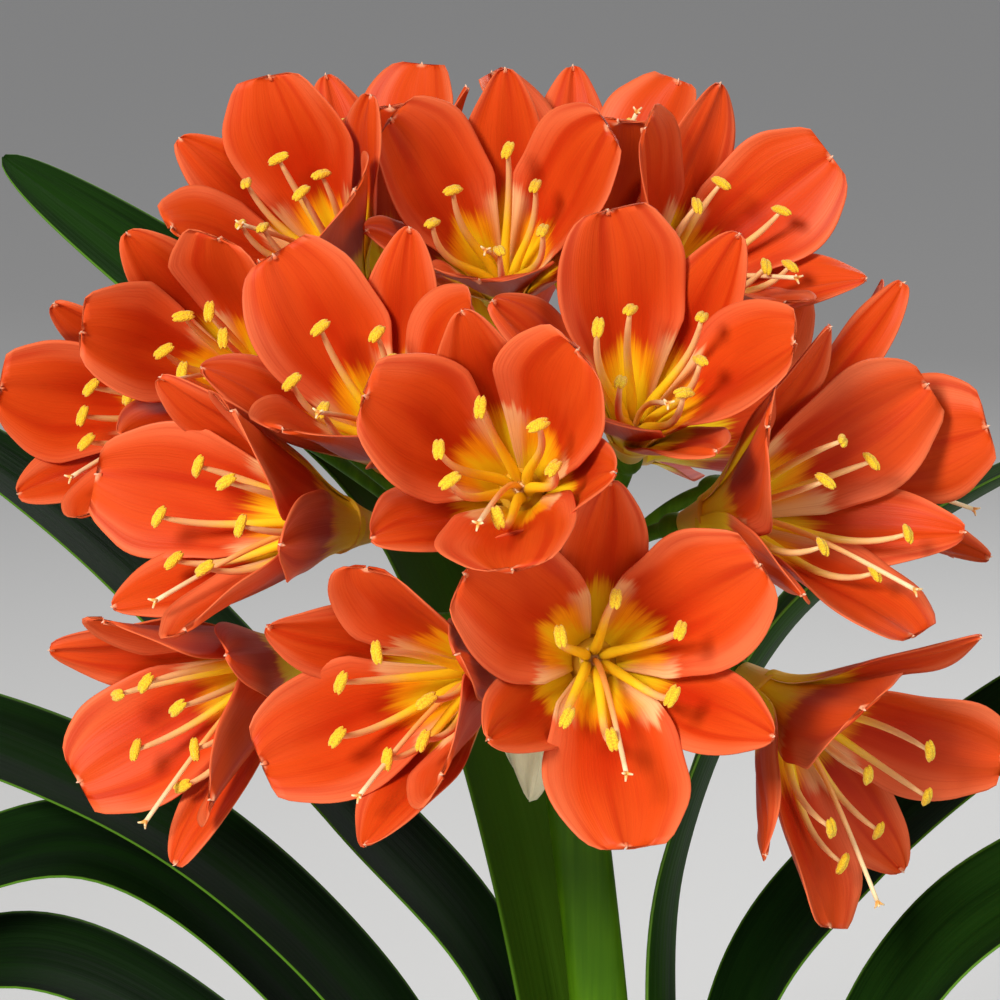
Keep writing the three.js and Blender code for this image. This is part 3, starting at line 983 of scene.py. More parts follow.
class Whorl(Enum):
    """The two layers of petals: broad inner ones and narrower outer ones."""

    INNER = PetalKind(width=34, widest=0.72, round=2.2, outset=0, foot_width=7, lobe=1.7)
    OUTER = PetalKind(width=22, widest=0.62, round=1.6, outset=3.2, foot_width=5, lobe=0.6)

    @classmethod
    def of(cls, k: int) -> PetalKind:
        """Gives the kind of petal k: the two layers take turns."""
        return (cls.OUTER if k % 2 else cls.INNER).value


@dataclass(frozen=True)
class Place:
    """Where one bloom stands, the way it faces and how its petals open."""

    base: Span
    reach: float
    face: Span
    roll: float
    opening: float
    lift: tuple[float, ...]

    def foot(self) -> Array:
        """Gives the point where the bloom's tube begins."""
        return UMBEL_MIDDLE + direction(self.base) * self.reach


@dataclass
class Bloom:
    """One funnel-shaped bloom on a short tube."""

    place: Place
    number: int
    petal_finish: Material
    tube_finish: Material
    nib_finish: Material
    length: float = 66
    start: float = 0.12
    foot: float = 3.3
    tube_angle: float = 10
    flare_end: float = 0.4
    recurve: float = 12
    thickness: float = 0.85
    furrow: float = 0.60
    pleat: float = 0.58
    ragged: float = 0.045
    wave: float = 0.7
    ripple: float = 0.4
    furrow_width: float = 0.12
    cup: float = 10
    widest_arc: float = 1.9
    lobe_sides: Span = (0.12, 0.52)
    lobe_start: Span = (0.90, 0.98)
    lobe_end: Span = (0.985, 1.0)
    tube_length: float = 10
    tube_base: float = 3.4
    tube_mouth: float = 7.0
    nib_ahead: tuple[float, ...] = (0.0, 0.6, 1.1, 1.5, 1.8)
    nib_inward: tuple[float, ...] = (0.0, 0.05, 0.15, 0.35, 0.65)
    nib_radii: tuple[float, ...] = (0.62, 0.58, 0.42, 0.24, 0.08)
    steps: int = 120
    rows: int = 30
    columns: int = 20

    def rib(self, k: int, at: Array) -> tuple[Array, ...]:
        """Follows the middle line of petal k.

        Args:
            k: which petal.
            at: where along it, 0 to 1.

        Returns:
            Distance from the bloom's axis, height above its foot, and slope.
        """
        t = (np.arange(self.steps) + 0.5) / self.steps
        flare = (self.place.opening - self.tube_angle) * rise(t, 0, self.flare_end)
        lifted = 1.3 * self.place.lift[k] * rise(t, 0.3, 0.65)
        curled = self.recurve * np.maximum(0, (t - 0.6) / 0.4) ** 2
        slope = np.radians(self.tube_angle + flare + lifted + curled)
        step = self.length / self.steps
        radius = self.foot + np.concatenate([[0], np.cumsum(np.sin(slope) * step)])
        height = np.concatenate([[0], np.cumsum(np.cos(slope) * step)])
        slopes = np.concatenate([[math.radians(self.tube_angle)], slope])
        stops = np.linspace(0, 1, self.steps + 1)
        return tuple(np.interp(at, stops, values) for values in (radius, height, slopes))

    def relief(self, seed: int, t: Array, q: Array) -> Array:
        """Gives the heights of a petal's waves, furrow and soft pleats.

        Args:
            seed: which petal of all.
            t: places along it.
            q: places across it.

        Returns:
            The heights.
        """
        waves = self.wave * np.sin(9 * t + 3 * draw(seed)) * np.sign(q)
        waves = waves + self.ripple * np.sin(14 * t + 5 * draw(seed + 40))
        waves = waves * q**2 * rise(t, 0.3, 0.7)
        furrow = np.exp(-((q / self.furrow_width) ** 2)) * rise(t, 0.2, 0.5)
        furrow = furrow * (1 - 0.6 * rise(t, 0.85, 1))
        pleats = np.cos(q * 6.5 + 3 * draw(seed + 9) + 2 * t) * rise(t, 0.45, 0.85) * (1 - q**2)
        return waves - self.furrow * furrow + self.pleat * pleats

    def petal(self, part: Part, k: int) -> None:
        """Adds petal k, two-lobed at its end, with a soft relief and an uneven margin.

        Args:
            part: takes the petal.
            k: which petal.
        """
        kind = Whorl.of(k)
        out, side = spoke(self.place.roll + PETAL_TURN * k)
        seed = self.number * 7 + k

        def surface(t: Array, q: Array) -> tuple[Array, Array]:
            """Gives points and normals of the petal's middle surface.

            Args:
                t: places along the blade.
                q: places across the blade.

            Returns:
                Points and unit normals.
            """
            sign = np.sign(q)
            lobes = rise(np.abs(q), *self.lobe_sides) * rise(t, *self.lobe_start)
            lobes = lobes * (1 - rise(t, *self.lobe_end))
            lobes = kind.lobe / self.length * lobes * (1 + 0.5 * draw(seed + 17) * sign)
            radius, height, slope = self.rib(k, t + lobes)
            outset = kind.outset * (0.28 + 0.72 * rise(t, self.start, self.start + 0.5))
            bend = radius + outset + self.cup * rise(t, 0.5, 1)
            uneven = np.sin(t * 13 + 2 * sign + 6 * draw(seed + 3)) * rise(t, 0.45, 0.65)
            width = kind.breadth(t) * (1 + self.ragged * uneven)
            width = np.minimum(width, self.widest_arc * (radius + outset))
            middle = times(out, radius) + times(UP, height)
            inward = times(UP, np.sin(slope)) - times(out, np.cos(slope))
            point, normal = bowed(middle, inward, side, bend, q * width / 2 / bend, -outset)
            return point + times(normal, self.relief(seed, t, q)), normal

        def thick(t: Array, q: Array) -> Array:
            """Thins the petal towards its margins and its end."""
            rim = 1 - 0.55 * rise(np.abs(q), 0.5, 1)
            return self.thickness * rim * (1 - 0.45 * rise(t, 0.85, 1))

        along = lerp(self.start, 1, close_at_tip(self.rows, 1.25))
        shift = 2.0 * (seed % 23) + k % 2
        across = close_at_rims(self.columns, 1.15)
        part.sheet(across, along, surface, thick, self.petal_finish, shift)

    def nib(self, part: Part, k: int) -> None:
        """Adds the small pale point that hooks inward at the end of petal k.

        Args:
            part: takes the point.
            k: which petal.
        """
        out, _ = spoke(self.place.roll + PETAL_TURN * k)
        radius, height, slope = (float(x) for x in self.rib(k, np.array(0.98)))
        ahead = out * math.sin(slope) + UP * math.cos(slope)
        inward = UP * math.sin(slope) - out * math.cos(slope)
        root = out * radius + UP * height - inward * (Whorl.of(k).outset + 0.1)
        line = root + np.outer(self.nib_ahead, ahead) + np.outer(self.nib_inward, inward)
        part.tube(line, np.array(self.nib_radii), 8, self.nib_finish, 0.6)

    def tube(self, part: Part) -> None:
        """Adds the floral tube under the petals.

        Args:
            part: takes the tube.
        """
        along = np.linspace(0, 1, 10)
        waist = 1 - 0.06 * np.sin(np.pi * along)
        radii = lerp(self.tube_base, self.tube_mouth, along) * waist
        part.tube(np.outer(along * self.tube_length, UP), radii, 24, self.tube_finish)

    def frame(self) -> tuple[Array, Array]:
        """Gives the bloom's axes, as columns, and its foot.

        Returns:
            The axes and the foot.
        """
        axis = direction(self.place.face)
        up = unit(UP - axis * axis[2])
        return np.stack([up, np.cross(axis, up), axis], axis=1), self.place.foot()

    def build(self) -> bpy.types.Object:
        """Builds the bloom's mesh: six petals and the tube.

        Returns:
            The new object.
        """
        part = Part(f"bloom_{self.number:02d}_petals")
        for k in range(PETALS):
            self.petal(part, k)
            self.nib(part, k)
        self.tube(part)
        part.move(*self.frame())
        return part.build("petal", f"bloom_{self.number:02d}")


@dataclass
class Stamens:
    """Six filaments with anthers lying across them, and the longer style."""

    bloom: Bloom
    filament: Material
    pollen: Material
    style: Material
    reach: float = 50
    ring: float = 2.3
    spread: float = 15
    droop: float = 6
    shut: float = 13
    free: float = 31
    filament_foot: float = 1.42
    filament_top: float = 0.72
    anther_half: float = 2.8
    sac: float = 0.92
    style_reach: float = 60
    style_aside: float = 26
    style_foot: float = 0.8
    style_top: float = 0.55
    arm_radii: tuple[float, ...] = (0.42, 0.36, 0.2)
    hub_radii: tuple[float, ...] = (3.7, 3.6, 2.8)

    @property
    def floor(self) -> float:
        """Gives the height of the tube's mouth, where the filaments stand."""
        return self.bloom.tube_length + 0.3

    @property
    def room(self) -> float:
        """Gives how freely the bloom lets its stamens spread, up to 1."""
        return min(1, (self.bloom.place.opening - self.shut) / (self.free - self.shut))

    def anther(self, part: Part, tip: Array, ahead: Array, seed: int) -> None:
        """Adds an anther: two pollen sacs side by side, lying across the filament's end.

        Args:
            part: takes the anther.
            tip: the filament's end.
            ahead: the way that it points.
            seed: sets how the anther leans.
        """
        lean = np.array([draw(seed), draw(seed + 1), draw(seed + 2)])
        across = unit(np.cross(ahead, np.array([0.3, 1.0, 0.2]) + 0.8 * lean))
        along = unit(across + ahead * (0.25 + 0.4 * draw(seed + 3)))
        aside = unit(np.cross(along, ahead))
        stops = np.linspace(-1, 1, 11)
        crown = 1 - stops**2
        swell = np.sqrt(np.maximum(0.02, crown)) * (1 + 0.06 * np.sin(stops * 9 + seed))
        line = tip + times(along, stops * self.anther_half) + times(ahead, 0.5 + 0.25 * crown)
        for sign in (-1, 1):
            part.tube(line + aside * (sign * 0.5), swell * self.sac, 10, self.pollen)

    def stamen(self, part: Part, k: int) -> None:
        """Adds filament k with its anther.

        Args:
            part: takes the stamen.
            k: which stamen.
        """
        index, turn = self.bloom.number - 1, self.bloom.place.roll + PETAL_TURN * k
        spread = (self.spread + 3 * draw(index * 11 + k + 3)) * self.room
        height = self.reach + 3 * draw(index * 5 + k + 9)
        tip = around(turn + 12 * draw(index * 7 + k), spread)
        droop = self.droop * self.room
        curve = [
            around(turn, self.ring, self.floor + 0.3),
            around(turn, self.ring + 1.5, self.floor + 14),
            tip + np.array([-droop, 0, height * 0.6]),
            tip + np.array([2 - droop, 0, height]),
        ]
        t = np.linspace(0, 1, 18)
        line = bezier(curve, t)
        radii = lerp(self.filament_foot, self.filament_top, t / 0.95)
        part.tube(line, radii * (1 - 0.3 * rise(t, 0.9, 1)), 10, self.filament, 1.0, 0.1 * k)
        self.anther(part, line[-1], unit(line[-1] - line[-2]), index * 31 + k)

    def pistil(self, part: Part) -> None:
        """Adds the style with its three-parted tip.

        Args:
            part: takes the style.
        """
        aside, top = self.style_aside * self.room, self.style_reach
        curve = [
            UP * (self.floor + 0.3),
            UP * (top * 0.4),
            np.array([-aside * 0.5, 0, top * 0.7]),
            np.array([-aside, 0, top]),
        ]
        t = np.linspace(0, 1, 22)
        line = bezier(curve, t)
        part.tube(line, lerp(self.style_foot, self.style_top, t), 10, self.style)
        end, ahead = line[-1], unit(line[-1] - line[-2])
        across = unit(np.cross(ahead, np.array([0, 1.0, 0.3])))
        for i in range(3):
            turn = 2 * math.pi * i / 3
            fork = across * math.cos(turn) + np.cross(ahead, across) * math.sin(turn)
            arm = [end - ahead * 0.5, end + ahead * 0.7 + fork * 0.5, end + (ahead + fork) * 1.4]
            part.tube(np.array(arm), np.array(self.arm_radii), 8, self.style)

    def build(self) -> bpy.types.Object:
        """Builds the stamens' mesh.

        Returns:
            The new object.
        """
        part = Part(f"stamens_{self.bloom.number:02d}_fine")
        for k in range(PETALS):
            self.stamen(part, k)
        self.pistil(part)
        hub = np.outer([self.floor, self.floor + 0.8, self.floor + 1.6], UP)
        part.tube(hub, np.array(self.hub_radii), 20, self.filament)
        part.move(*self.bloom.frame())
        return part.build("stamen", f"stamens_{self.bloom.number:02d}")


# ------------------------------------------------------------------ stalk and umbel


@dataclass
class Umbel:
    """The flower stalk, its swollen top, the pedicels with their ovaries, and the bracts."""

    places: Sequence[Place]
    stem: Material
    paper: Material
    foot: float = 4
    lean: float = 22
    base: float = 128.3
    top: float = 421
    half_width: float = 7.4
    half_depth: float = 4.6
    slant: float = 0.14
    knob: Point = (10, 8.5, 7)
    ovary: float = 3.6
    ovary_length: float = 7
    pedicel: float = 2.1
    pedicel_rise: float = 0.35
    pedicel_handles: Point = (6, 24, 14)
    bract_length: float = 26
    bract_turn: float = 245
    bract_width: float = 15
    bract_at: float = 0.955
    bract_gap: float = 3.2
    bract_arch: float = 0.32
    bract_cup: float = 2.2
    collar_gap: Span = (1.6, 1.9)
    collar_rings: tuple[Span, ...] = ((1.0, -3), (1.2, -3), (1.22, 0), (1.2, 3), (1.0, 3))

    def stalk_centre(self, s: Array | float) -> Array:
        """Gives the stalk's centre for s from 0 at its foot to 1 at its top.

        Args:
            s: places along the stalk.

        Returns:
            The centre at each place.
        """
        s = np.asarray(s, float)
        height = lerp(self.base, self.top, s)
        return np.stack([self.foot - self.lean * s * s, 0 * s, height], axis=-1)

    def stalk(self, part: Part) -> None:
        """Adds the flattened stalk with two blunt edges and the swollen top.

        Args:
            part: takes the stalk.
        """
        rings, sides = 60, 32
        s = np.linspace(0, 1, rings)
        points, places = [], []
        for at, centre in zip(s, self.stalk_centre(s)):
            for k in range(sides):
                turn = 2 * math.pi * k / sides
                c, w = math.cos(turn), math.sin(turn)
                waist = 1 - 0.10 * math.cos(2 * turn) ** 2
                x = self.half_width * math.copysign(abs(c) ** 0.9, c)
                y = self.half_depth * math.copysign(abs(w) ** 1.1, w) * waist
                points.append(centre + np.array([x, y, x * self.slant * at]))
                places.append((k / sides, at))
        part.rings(points, places, sides, self.stem)
        wide, deep, tall = self.knob
        level = np.linspace(-1, 1, 15)
        line = self.stalk_centre(1.0) + np.outer(level * tall, UP)
        radii = wide * np.sqrt(np.maximum(0.01, 1 - level**2))
        part.tube(line, radii, 28, self.stem, deep / wide)

    def pedicel_line(self, place: Place) -> tuple[Array, Array]:
        """Gives a pedicel's line and radii, with the swollen ovary at its end.

        Args:
            place: the bloom that it carries.

        Returns:
            The centres and the radii.
        """
        top, base, face = self.stalk_centre(1.0), place.foot(), direction(place.face)
        out = unit(unit(base - top) + self.pedicel_rise * UP)
        ovary_foot = base - face * self.ovary_length
        near, far, back = self.pedicel_handles
        curve = [top + out * near, top + out * far, ovary_foot - face * back, ovary_foot]
        t = np.linspace(0, 1, 20)
        ahead = np.array([0.12, 0.25, 0.4, 0.55, 0.7, 0.82, 0.92, 0.975])
        swell = lerp(self.pedicel * 0.95, self.ovary, np.sin(np.pi * ahead) ** 0.6)
        radii = self.pedicel * (0.95 - 0.12 * np.sin(np.pi * t))
        lines = [bezier(curve, t), ovary_foot + np.outer(ahead * self.ovary_length, face)]
        return np.concatenate(lines), np.concatenate([radii, swell])

    def bract(self, part: Part, i: int) -> None:
        """Adds papery bract i, which hangs from the collar.

        Args:
            part: takes the bract.
            i: which bract.
        """
        out, side = spoke(self.bract_turn + 120 * i)
        gap = self.bract_gap
        beside = np.array([self.half_width + gap, self.half_depth + gap, 0])
        root = self.stalk_centre(self.bract_at) + out * beside + UP

        def surface(t: Array, q: Array) -> tuple[Array, Array]:
            """Gives points and normals of the bract.

            Args:
                t: places along the blade.
                q: places across the blade.

            Returns:
                Points and unit normals.
            """
            width = lerp(0.6, 1, rise(t, 0, 0.55)) * (1 - 0.5 * rise(t, 0.6, 1))
            width = width * np.sqrt(1 - 0.9 * np.clip((t - 0.8) / 0.2, 0, 1) ** 2)
            crumple = 0.45 * np.sin(q * 6 + t * 7 + i) + 0.3 * np.sin(q * 3 - t * 13 + 2 * i)
            away = self.bract_length * self.bract_arch * np.sin(1.9 * t)
            away = away - self.bract_cup * q * q
            away = away + crumple * rise(t, 0, 0.3)
            down = self.bract_length * t * t * (1.4 - 0.4 * t)
            point = root + times(out, away) + times(side, q * width * self.bract_width / 2)
            return point - times(UP, down), np.broadcast_to(out, point.shape)

        def thick(t: Array, q: Array) -> Array:
            """Thins the bract towards its margins."""
            return 0.7 - 0.35 * np.abs(q)

        part.sheet(
            np.linspace(-1, 1, 13), np.linspace(0, 1, 26), surface, thick, self.paper, float(i)
        )

    def collar(self, part: Part) -> None:
        """Adds the collar round the stalk that carries the bracts.

        Args:
            part: takes the collar.
        """
        sides = 28
        foot = self.stalk_centre(self.bract_at)
        wider, deeper = self.collar_gap
        oval = np.array([self.half_width + wider, self.half_depth + deeper, 1.0])
        points, places = [], []
        for radius, height in self.collar_rings:
            for k in range(sides):
                points.append(foot + around(360 * k / sides, radius, height) * oval)
                places.append((k / sides, 0.1))
        part.rings(points, places, sides, self.paper, looped=True)

    def build(self) -> None:
        """Builds the stalk with its pedicels, and the bracts on their collar."""
        green = Part("flower_stalk_green")
        self.stalk(green)
        for i, place in enumerate(self.places):
            line, radii = self.pedicel_line(place)
            green.tube(line, radii, 14, self.stem, 1.0, float(i))
        green.build("stalk", "flower_stalk")
        papery = Part("spathe_bracts_paper")
        for i in range(3):
            self.bract(papery, i)
        self.collar(papery)
        papery.build("bracts", "spathe_bracts")


# ------------------------------------------------------------------ leaves


@dataclass(frozen=True)
class Strap:
    """One leaf: where its foot stands, how broad it is, its tilt, its tone and its way out."""

    radius: float
    width: float
    tilt: float
    tone: Tone
    path: tuple[Point, ...]


@dataclass
class Leaf:
    """A strap leaf that clasps the stalk at its foot and arches out."""

    strap: Strap
    side: int
    name: str
    finish: Material
    foot: float = 128.4
    soil_top: float = 140
    foot_angle: float = 66
    channel: float = 46
    rib: float = 2.0
    margin: float = 0.72
    keel: float = 0.7
    keel_width: float = 0.12
    tip_start: float = 0.72
    tip_round: float = 1.7
    wave: float = 0.8
    sunk: float = 0.4
    steps: int = 400
    rows: int = 110
    columns: int = 19

    def breadth(self, t: Array) -> Array:
        """Gives the full width along the leaf.

        Args:
            t: places along the leaf.

        Returns:
            The width at each place.
        """
        foot = 2 * self.strap.radius * math.radians(self.foot_angle)
        grown = lerp(min(foot, self.strap.width), self.strap.width, rise(t, 0, 0.35))
        past = np.maximum(0, (t - self.tip_start) / (1 - self.tip_start))
        return grown * np.maximum(0.04, np.sqrt(np.maximum(0, 1 - past**self.tip_round)))

    def build(self) -> bpy.types.Object:
        """Builds the leaf's mesh with its keel and soft waves.

        Returns:
            The new object.
        """
        strap, side = self.strap, self.side
        x = side * strap.radius
        line = catmull([(x, 0, self.foot), (x, 0, self.soil_top + 12), *strap.path], self.steps)
        tangents = unit(np.gradient(line, axis=0))
        level = unit(np.array([0, 1.0, 0]) - tangents * tangents[:, 1:2])
        upright = np.cross(tangents, level) * side
        stops = np.linspace(0, 1, self.steps)
        seed = draw(strap.radius)

        def pick(values: Array, t: Array) -> Array:
            """Reads rows of values at t."""
            return np.stack([np.interp(t, stops, values[:, i]) for i in range(3)], axis=-1)

        def surface(t: Array, q: Array) -> tuple[Array, Array]:
            """Gives points and normals of the leaf's middle surface.

            Args:
                t: places along the blade.
                q: places across the blade.

            Returns:
                Points and unit normals.
            """
            turn = side * math.radians(strap.tilt) * rise(t, 0, 0.4)
            upper, across, ahead = pick(upright, t), pick(level, t), pick(tangents, t)
            c, s = np.cos(turn), np.sin(turn)
            upper = times(upper, c) + times(np.cross(ahead, upper), s)
            across = times(across, c) + times(np.cross(ahead, across), s)
            bend = lerp(strap.radius, self.channel, rise(t, 0, 0.3))
            angle = q * self.breadth(t) / 2 / bend
            keel = 1 - np.exp(-((q / self.keel_width) ** 2))
            keel = self.keel * keel * rise(t, 0.15, 0.35)
            wave = self.wave * np.sin(16 * t + 4 * seed) * q**2 * rise(t, 0.4, 0.7)
            return bowed(pick(line, t), upper, across, bend, angle, keel + wave - self.sunk)

        def thick(t: Array, q: Array) -> Array:
            """Thins the leaf from its rib to its margins and its tip."""
            return lerp(self.rib, self.margin, np.abs(q) ** 0.8) * (1 - 0.4 * t)

        part = Part(self.name + "_strap")
        part.sheet(
            close_at_rims(self.columns, 1.1), close_at_tip(self.rows, 1.15), surface, thick,
            self.finish, float(int(strap.radius)),
        )
        return part.build("leaf", self.name)


# ------------------------------------------------------------------ pot and soil


@dataclass
class Planter:
    """The clay pot and the soil in it."""

    clay: Material
    earth: Material
    height: float = 150
    foot_radius: float = 60
    mouth_radius: float = 82
    rim_radius: float = 88
    rim_height: float = 26
    wall: float = 6
    soil_top: float = 140
    soil_gap: float = 1.2
    swell: float = 3
    hole_radius: float = 33
    hole_depth: float = 12
    sides: int = 128

    def skin(self, height: float) -> float:
        """Gives the pot's outer radius at a height."""
        return self.foot_radius + (self.mouth_radius - self.foot_radius) * height / self.height

    def inside(self, height: float) -> float:
        """Gives the pot's inner radius at a height."""
        return self.skin(height) - self.wall

    def bed(self, height: float) -> float:
        """Gives the soil's radius at a height."""
        return self.inside(height) - self.soil_gap

    def pot(self) -> bpy.types.Object:
        """Builds the turned pot with its rolled rim.

        Returns:
            The new object.
        """
        top, rim, floor = self.height, self.rim_radius, self.wall + 2
        band, mouth = top - self.rim_height, self.inside(top)
        outer = [(self.skin(0) - 3, 0), (self.skin(0) - 1, 0.8), (self.skin(1.5), 2.5)]
        outer += [(self.skin(z), z) for z in np.linspace(8, band, 24)]
        lip = [
            (rim - 2, band + 0.8), (rim, band + 3), (rim + 0.4, band + 8), (rim + 0.8, top - 8),
            (rim + 1, top - 3), (rim + 0.4, top - 1), (rim - 1, top), (mouth + 2.5, top),
            (mouth + 0.8, top - 0.8), (mouth, top - 2.5),
        ]
        inner = [(self.inside(z), z) for z in np.linspace(top - 8, self.wall + 6, 14)]
        inner += [(self.inside(self.wall) - 3, floor), (0, floor)]
        part = Part("pot_fired_clay")
        part.turned([(0, 0), *outer, *lip, *inner], self.sides, self.clay)
        return part.build("pot", "pot")

    def soil(self) -> bpy.types.Object:
        """Builds the crumbly soil with its round hole.

        Returns:
            The new object.
        """
        floor, top, hole = self.wall + 2.3, self.soil_top, self.hole_radius
        bottom = top - self.hole_depth
        profile = [(0, floor), (self.bed(floor) - 1, floor)]
        profile += [(self.bed(z), z) for z in np.linspace(floor + 8, top - 1, 12)]
        profile += [(r, top + self.swell) for r in np.linspace(self.bed(top) - 1.5, hole + 4, 26)]
        profile += [(hole + 1.5, top + 1), (hole, top - 1)]
        profile += [(hole, z) for z in np.linspace(top - 3, bottom, 5)]
        profile += [(r, bottom) for r in np.linspace(hole - 2, 2, 8)]
        profile += [(0, bottom)]

        def crumble(x: Array, y: Array, z: Array) -> Array:
            """Raises and lowers the soil's top in crumbs.

            Args:
                x: first coordinates.
                y: second coordinates.
                z: heights.

            Returns:
                The moved points.
            """
            reach, turn = np.hypot(x, y), np.arctan2(y, x)
            free = (z > top) & (reach > hole + 2)
            shape = 1 - rise(reach / self.bed(top), 0.62, 1)
            lumps = 0.9 * np.sin(5 * turn + reach) + 0.5 * np.sin(11 * turn - reach)
            crumbs = 0.8 * np.sin(23 * turn + 0.9 * reach) * np.sin(1.7 * reach + 3 * turn)
            crumbs = crumbs + 0.5 * np.sin(41 * turn - 1.3 * reach)
            height = top + self.swell * shape + lumps + crumbs - 0.6
            return np.stack([x, y, np.where(free, height, z)], axis=1)

        part = Part("potting_soil_crumbs")
        part.turned(profile, self.sides, self.earth, crumble)
        return part.build("soil", "soil")

    def build(self) -> None:
        """Builds the pot and the soil."""
        self.pot()
        self.soil()


# ------------------------------------------------------------------ the plant


@dataclass
class Clivia:
    """The whole plant in its pot: the places of its blooms and its two ranks of leaves."""

    blooms: tuple[Place, ...] = (
        Place((-75, -7), 57, (-84, 16), 181, 36, (8, -2, -1, -3, 1, -9)),
        Place((-97, -12), 51, (-121, 5), 122, 27, (3, -3, -8, -8, 0, -4)),
        Place((-151, -10), 58, (-135, -9), 6, 29, (-8, -3, 2, 0, -6, 5)),
        Place((-130, 22), 61, (-139, 13), 86, 28, (3, -4, -4, 2, -4, -5)),
        Place((-138, 40), 51, (-108, 42), 285, 27, (0, 0, 0, 0, -6, -3)),
        Place((-90, 29), 68, (-100, 26), 315, 27, (-6, -8, -4, 0, 0, -6)),
        Place((-52, 44), 56, (-84, 42), 17, 29, (-3, 4, -3, 0, -2, -7)),
        Place((-41, 23), 55, (-39, 18), 301, 34, (0, -3, 2, 0, 0, -5)),
        Place((-22, -18), 60, (-45, -24), 280, 38, (-6, 4, 3, 0, -8, 8)),
        Place((96, 55), 75, (-95, 43), 298, 29, (-2, -2, -3, -2, -2, 0)),
        Place((140, 50), 85, (-118, 41), 18, 25, (-4, -7, -3, -5, -2, -2)),
        Place((159, 32), 81, (-110, 26), 100, 23, (-4, 0, 0, -4, -8, -3)),
        Place((145, 19), 98, (-127, 9), 82, 24, (-4, -4, -4, -6, -4, -4)),
        Place((52, 54), 75, (-52, 37), 287, 29, (-2, 0, 0, -3, -4, 0)),
        Place((79, 39), 90, (-60, 80), 40, 27, (-3, -3, -3, -3, -3, -3)),
        Place((118, 36), 95, (-130, 80), 0, 23, (-3, -3, -3, -3, -3, -3)),
        Place((-16, 28), 58, (15, 15), 323, 37, (-4, 3, -3, -3, 0, -3)),
        Place((97, 27), 72, (103, 38), 29, 26, (-9, 2, 5, 0, -5, -5)),
        Place((65, 21), 59, (47, 17), 38, 35, (0, -5, -5, 0, -5, -2)),
    )
    left: tuple[Strap, ...] = (
        Strap(9.5, 38, 40, Tone.YOUNG, (
            (-9, 2, 190), (-17, 18, 320), (-56, 60, 441), (-104, 88, 485), (-168, 116, 528),
        )),
        Strap(12.7, 40, 16, Tone.DARK, (
            (-13, 0, 185), (-32, 6, 323), (-71, 20, 370), (-133, 45, 431), (-199, 68, 475),
        )),
        Strap(15.9, 42, 14, Tone.DARK, (
            (-18, -1, 180), (-42, -4, 275), (-69, -6, 328), (-120, 0, 372), (-204, 8, 403),
            (-255, 10, 400),
        )),
        Strap(19.1, 42, 12, Tone.DARK, (
            (-22, -2, 175), (-55, -6, 278), (-85, -8, 330), (-136, -12, 369), (-195, -14, 343),
            (-246, -16, 290),
        )),
        Strap(22.3, 40, 10, Tone.DARK, (
            (-27, -4, 170), (-66, -16, 262), (-96, -22, 312), (-150, -25, 343), (-197, -26, 322),
            (-238, -28, 272),
        )),
        Strap(25.5, 38, 0, Tone.DARK, (
            (-33, 3, 165), (-76, 10, 235), (-130, 14, 262), (-185, 18, 250), (-230, 20, 205),
        )),
    )
    right: tuple[Strap, ...] = (
        # this leaf takes the painted light tone, as if lit from behind
        Strap(14, 40, -8, Tone.PAINTED_BACKLIGHT, (
            (14, 1, 190), (14, 18, 290), (17, 38, 352), (46, 58, 410), (95, 74, 441),
            (165, 90, 472),
        )),
        Strap(17.2, 42, 14, Tone.DARK, (
            (18, 2, 185), (36, 12, 321), (62, 17, 357), (98, 22, 387), (150, 30, 412),
            (200, 36, 415),
        )),
        Strap(20.4, 42, 14, Tone.MID, (
            (23, -3, 180), (50, -12, 270), (72, -16, 331), (97, -20, 358), (150, -26, 378),
            (205, -30, 365), (245, -32, 330),
        )),
        Strap(23.6, 40, 8, Tone.DARK, (
            (28, 2, 172), (66, 6, 255), (110, 10, 300), (165, 14, 310), (215, 18, 285),
            (250, 20, 240),
        )),
        Strap(26.8, 40, 0, Tone.DARK, (
            (34, -3, 165), (82, -10, 228), (135, -14, 252), (190, -18, 238), (232, -20, 195),
        )),
    )

    def build(self) -> None:
        """Builds every sub-assembly in order."""
        Planter(ClayFinish().make(), SoilFinish().make()).build()
        Umbel(self.blooms, StemFinish().make(), BractFinish().make()).build()
        tones = {tone: tone.value.make() for tone in Tone}
        for side, word, straps in ((-1, "left", self.left), (1, "right", self.right)):
            for i, strap in enumerate(straps, 1):
                Leaf(strap, side, f"leaf_{word}_{i}", tones[strap.tone]).build()
        tube, filament, style, nib = (fade.value.make() for fade in Fade)
        petal, pollen = PetalFinish().make(), PollenFinish().make()
        for number, place in enumerate(self.blooms, 1):
            bloom = Bloom(place, number, petal, tube, nib)
            bloom.build()
            Stamens(bloom, filament, pollen, style).build()


# ------------------------------------------------------------------ studio


@dataclass(frozen=True)
class Lamp:
    """A soft square light: where it hangs and its side, in metres, its watts and its tint."""

    name: str
    place: Point
    size: float
    power: float
    colour: Rgb = (1, 1, 1)


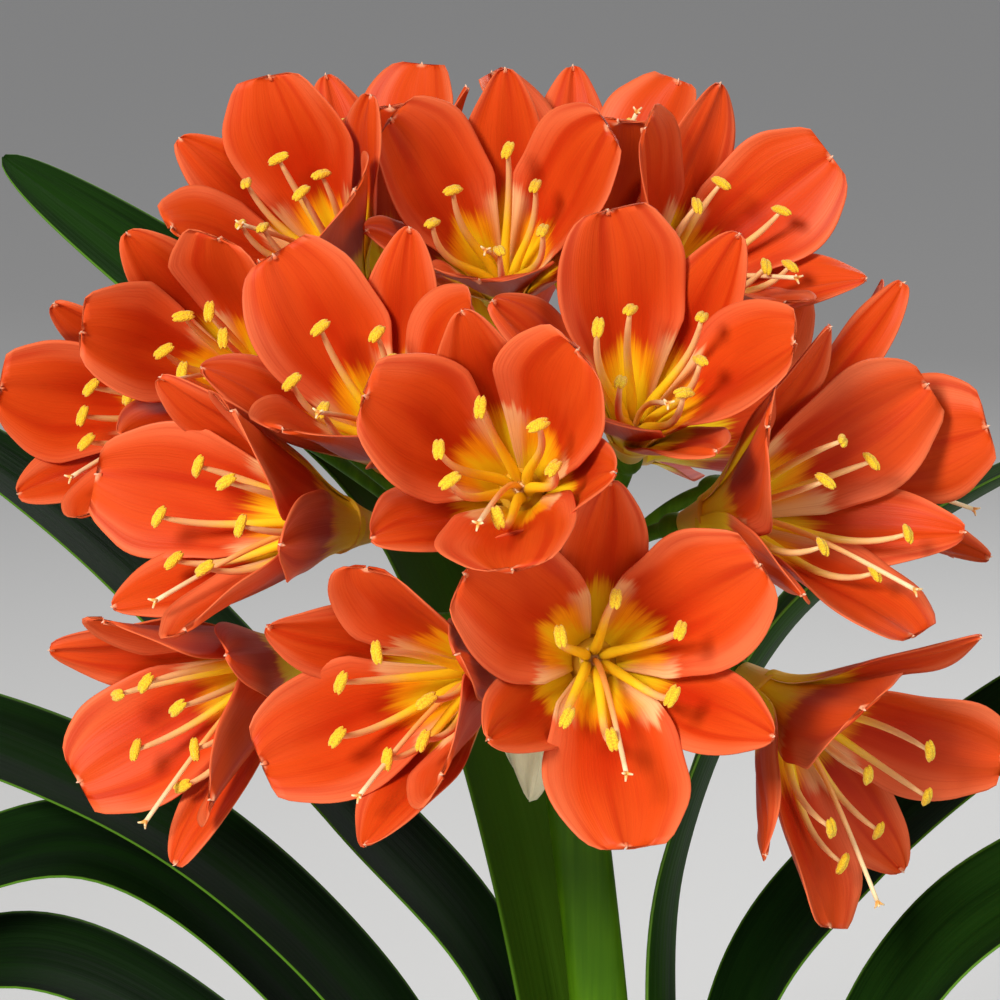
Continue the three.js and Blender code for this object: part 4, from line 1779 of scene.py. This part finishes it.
@dataclass
class Studio:
    """A pale floor, soft lights and the camera."""

    lamps: tuple[Lamp, ...] = (
        Lamp("key", (-0.85, -1.55, 1.35), 0.50, 41, (1.0, 0.98, 0.95)),
        Lamp("fill", (1.5, -1.0, 1.1), 1.4, 11),
        Lamp("back", (0.6, 1.5, 1.6), 1.2, 15),
    )
    lit_point: Point = (-0.02, 0, 0.38)
    sky: Rgb = (0.96, 0.96, 0.98)
    sky_strength: float = 0.27
    floor_half: float = 12.0
    target: Point = (-31.25, 4.16, 455.56)
    eye: Point = (-31.25, -905.52, 648.92)
    lens: float = 134.0
    sensor: float = 36

    def floor(self) -> None:
        """Lays the floor."""
        mesh = bpy.data.meshes.new("floor")
        corners = [(-1, -1), (1, -1), (1, 1), (-1, 1)]
        points = [(x * self.floor_half, y * self.floor_half, 0) for x, y in corners]
        mesh.from_pydata(points, [], [(0, 1, 2, 3)])
        mesh.materials.append(FloorFinish().make())
        floor = bpy.data.objects.new("floor", mesh)
        bpy.context.scene.collection.objects.link(floor)

    @staticmethod
    def hang(name: str, data: bpy.types.ID, place: Array, aim: Array) -> bpy.types.Object:
        """Hangs a lamp or the camera, with Z up.

        Args:
            name: its name.
            data: the lamp or camera.
            place: where it hangs, in metres.
            aim: the point that it looks at, in metres.

        Returns:
            The new object.
        """
        x, y, z = aim - place
        thing = bpy.data.objects.new(name, data)
        thing.location = place
        thing.rotation_euler = (math.atan2(math.hypot(x, y), -z), 0.0, math.atan2(-x, y))
        bpy.context.scene.collection.objects.link(thing)
        return thing

    def light(self, lamp: Lamp) -> None:
        """Hangs one light that looks at the plant.

        Args:
            lamp: what to hang.
        """
        data = bpy.data.lights.new(lamp.name, "AREA")
        data.energy, data.size, data.color = lamp.power, lamp.size, lamp.colour
        self.hang(lamp.name, data, np.array(lamp.place), np.array(self.lit_point))

    def camera(self) -> None:
        """Sets the camera at the viewing angle."""
        data = bpy.data.cameras.new("camera")
        data.lens, data.sensor_width, data.clip_end = self.lens, self.sensor, 50
        eye, target = np.array(self.eye) * METRES, np.array(self.target) * METRES
        bpy.context.scene.camera = self.hang("camera", data, eye, target)

    def world(self) -> None:
        """Fills the sky with an even pale light."""
        world = bpy.data.worlds.new("sky")
        world.use_nodes = True
        background = world.node_tree.nodes["Background"]
        background.inputs["Color"].default_value = (*self.sky, 1)
        background.inputs["Strength"].default_value = self.sky_strength
        bpy.context.scene.world = world
        bpy.context.scene.view_settings.view_transform = "Standard"

    def build(self) -> None:
        """Builds floor, lights, sky and camera."""
        self.floor()
        for lamp in self.lamps:
            self.light(lamp)
        self.world()
        self.camera()


def main() -> None:
    """Loads the frame, builds the plant and the studio, and logs each piece's triangles."""
    logging.basicConfig(level=logging.INFO, format="%(name)s %(message)s")
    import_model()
    Clivia().build()
    Studio().build()


if __name__ == "__main__":
    main()
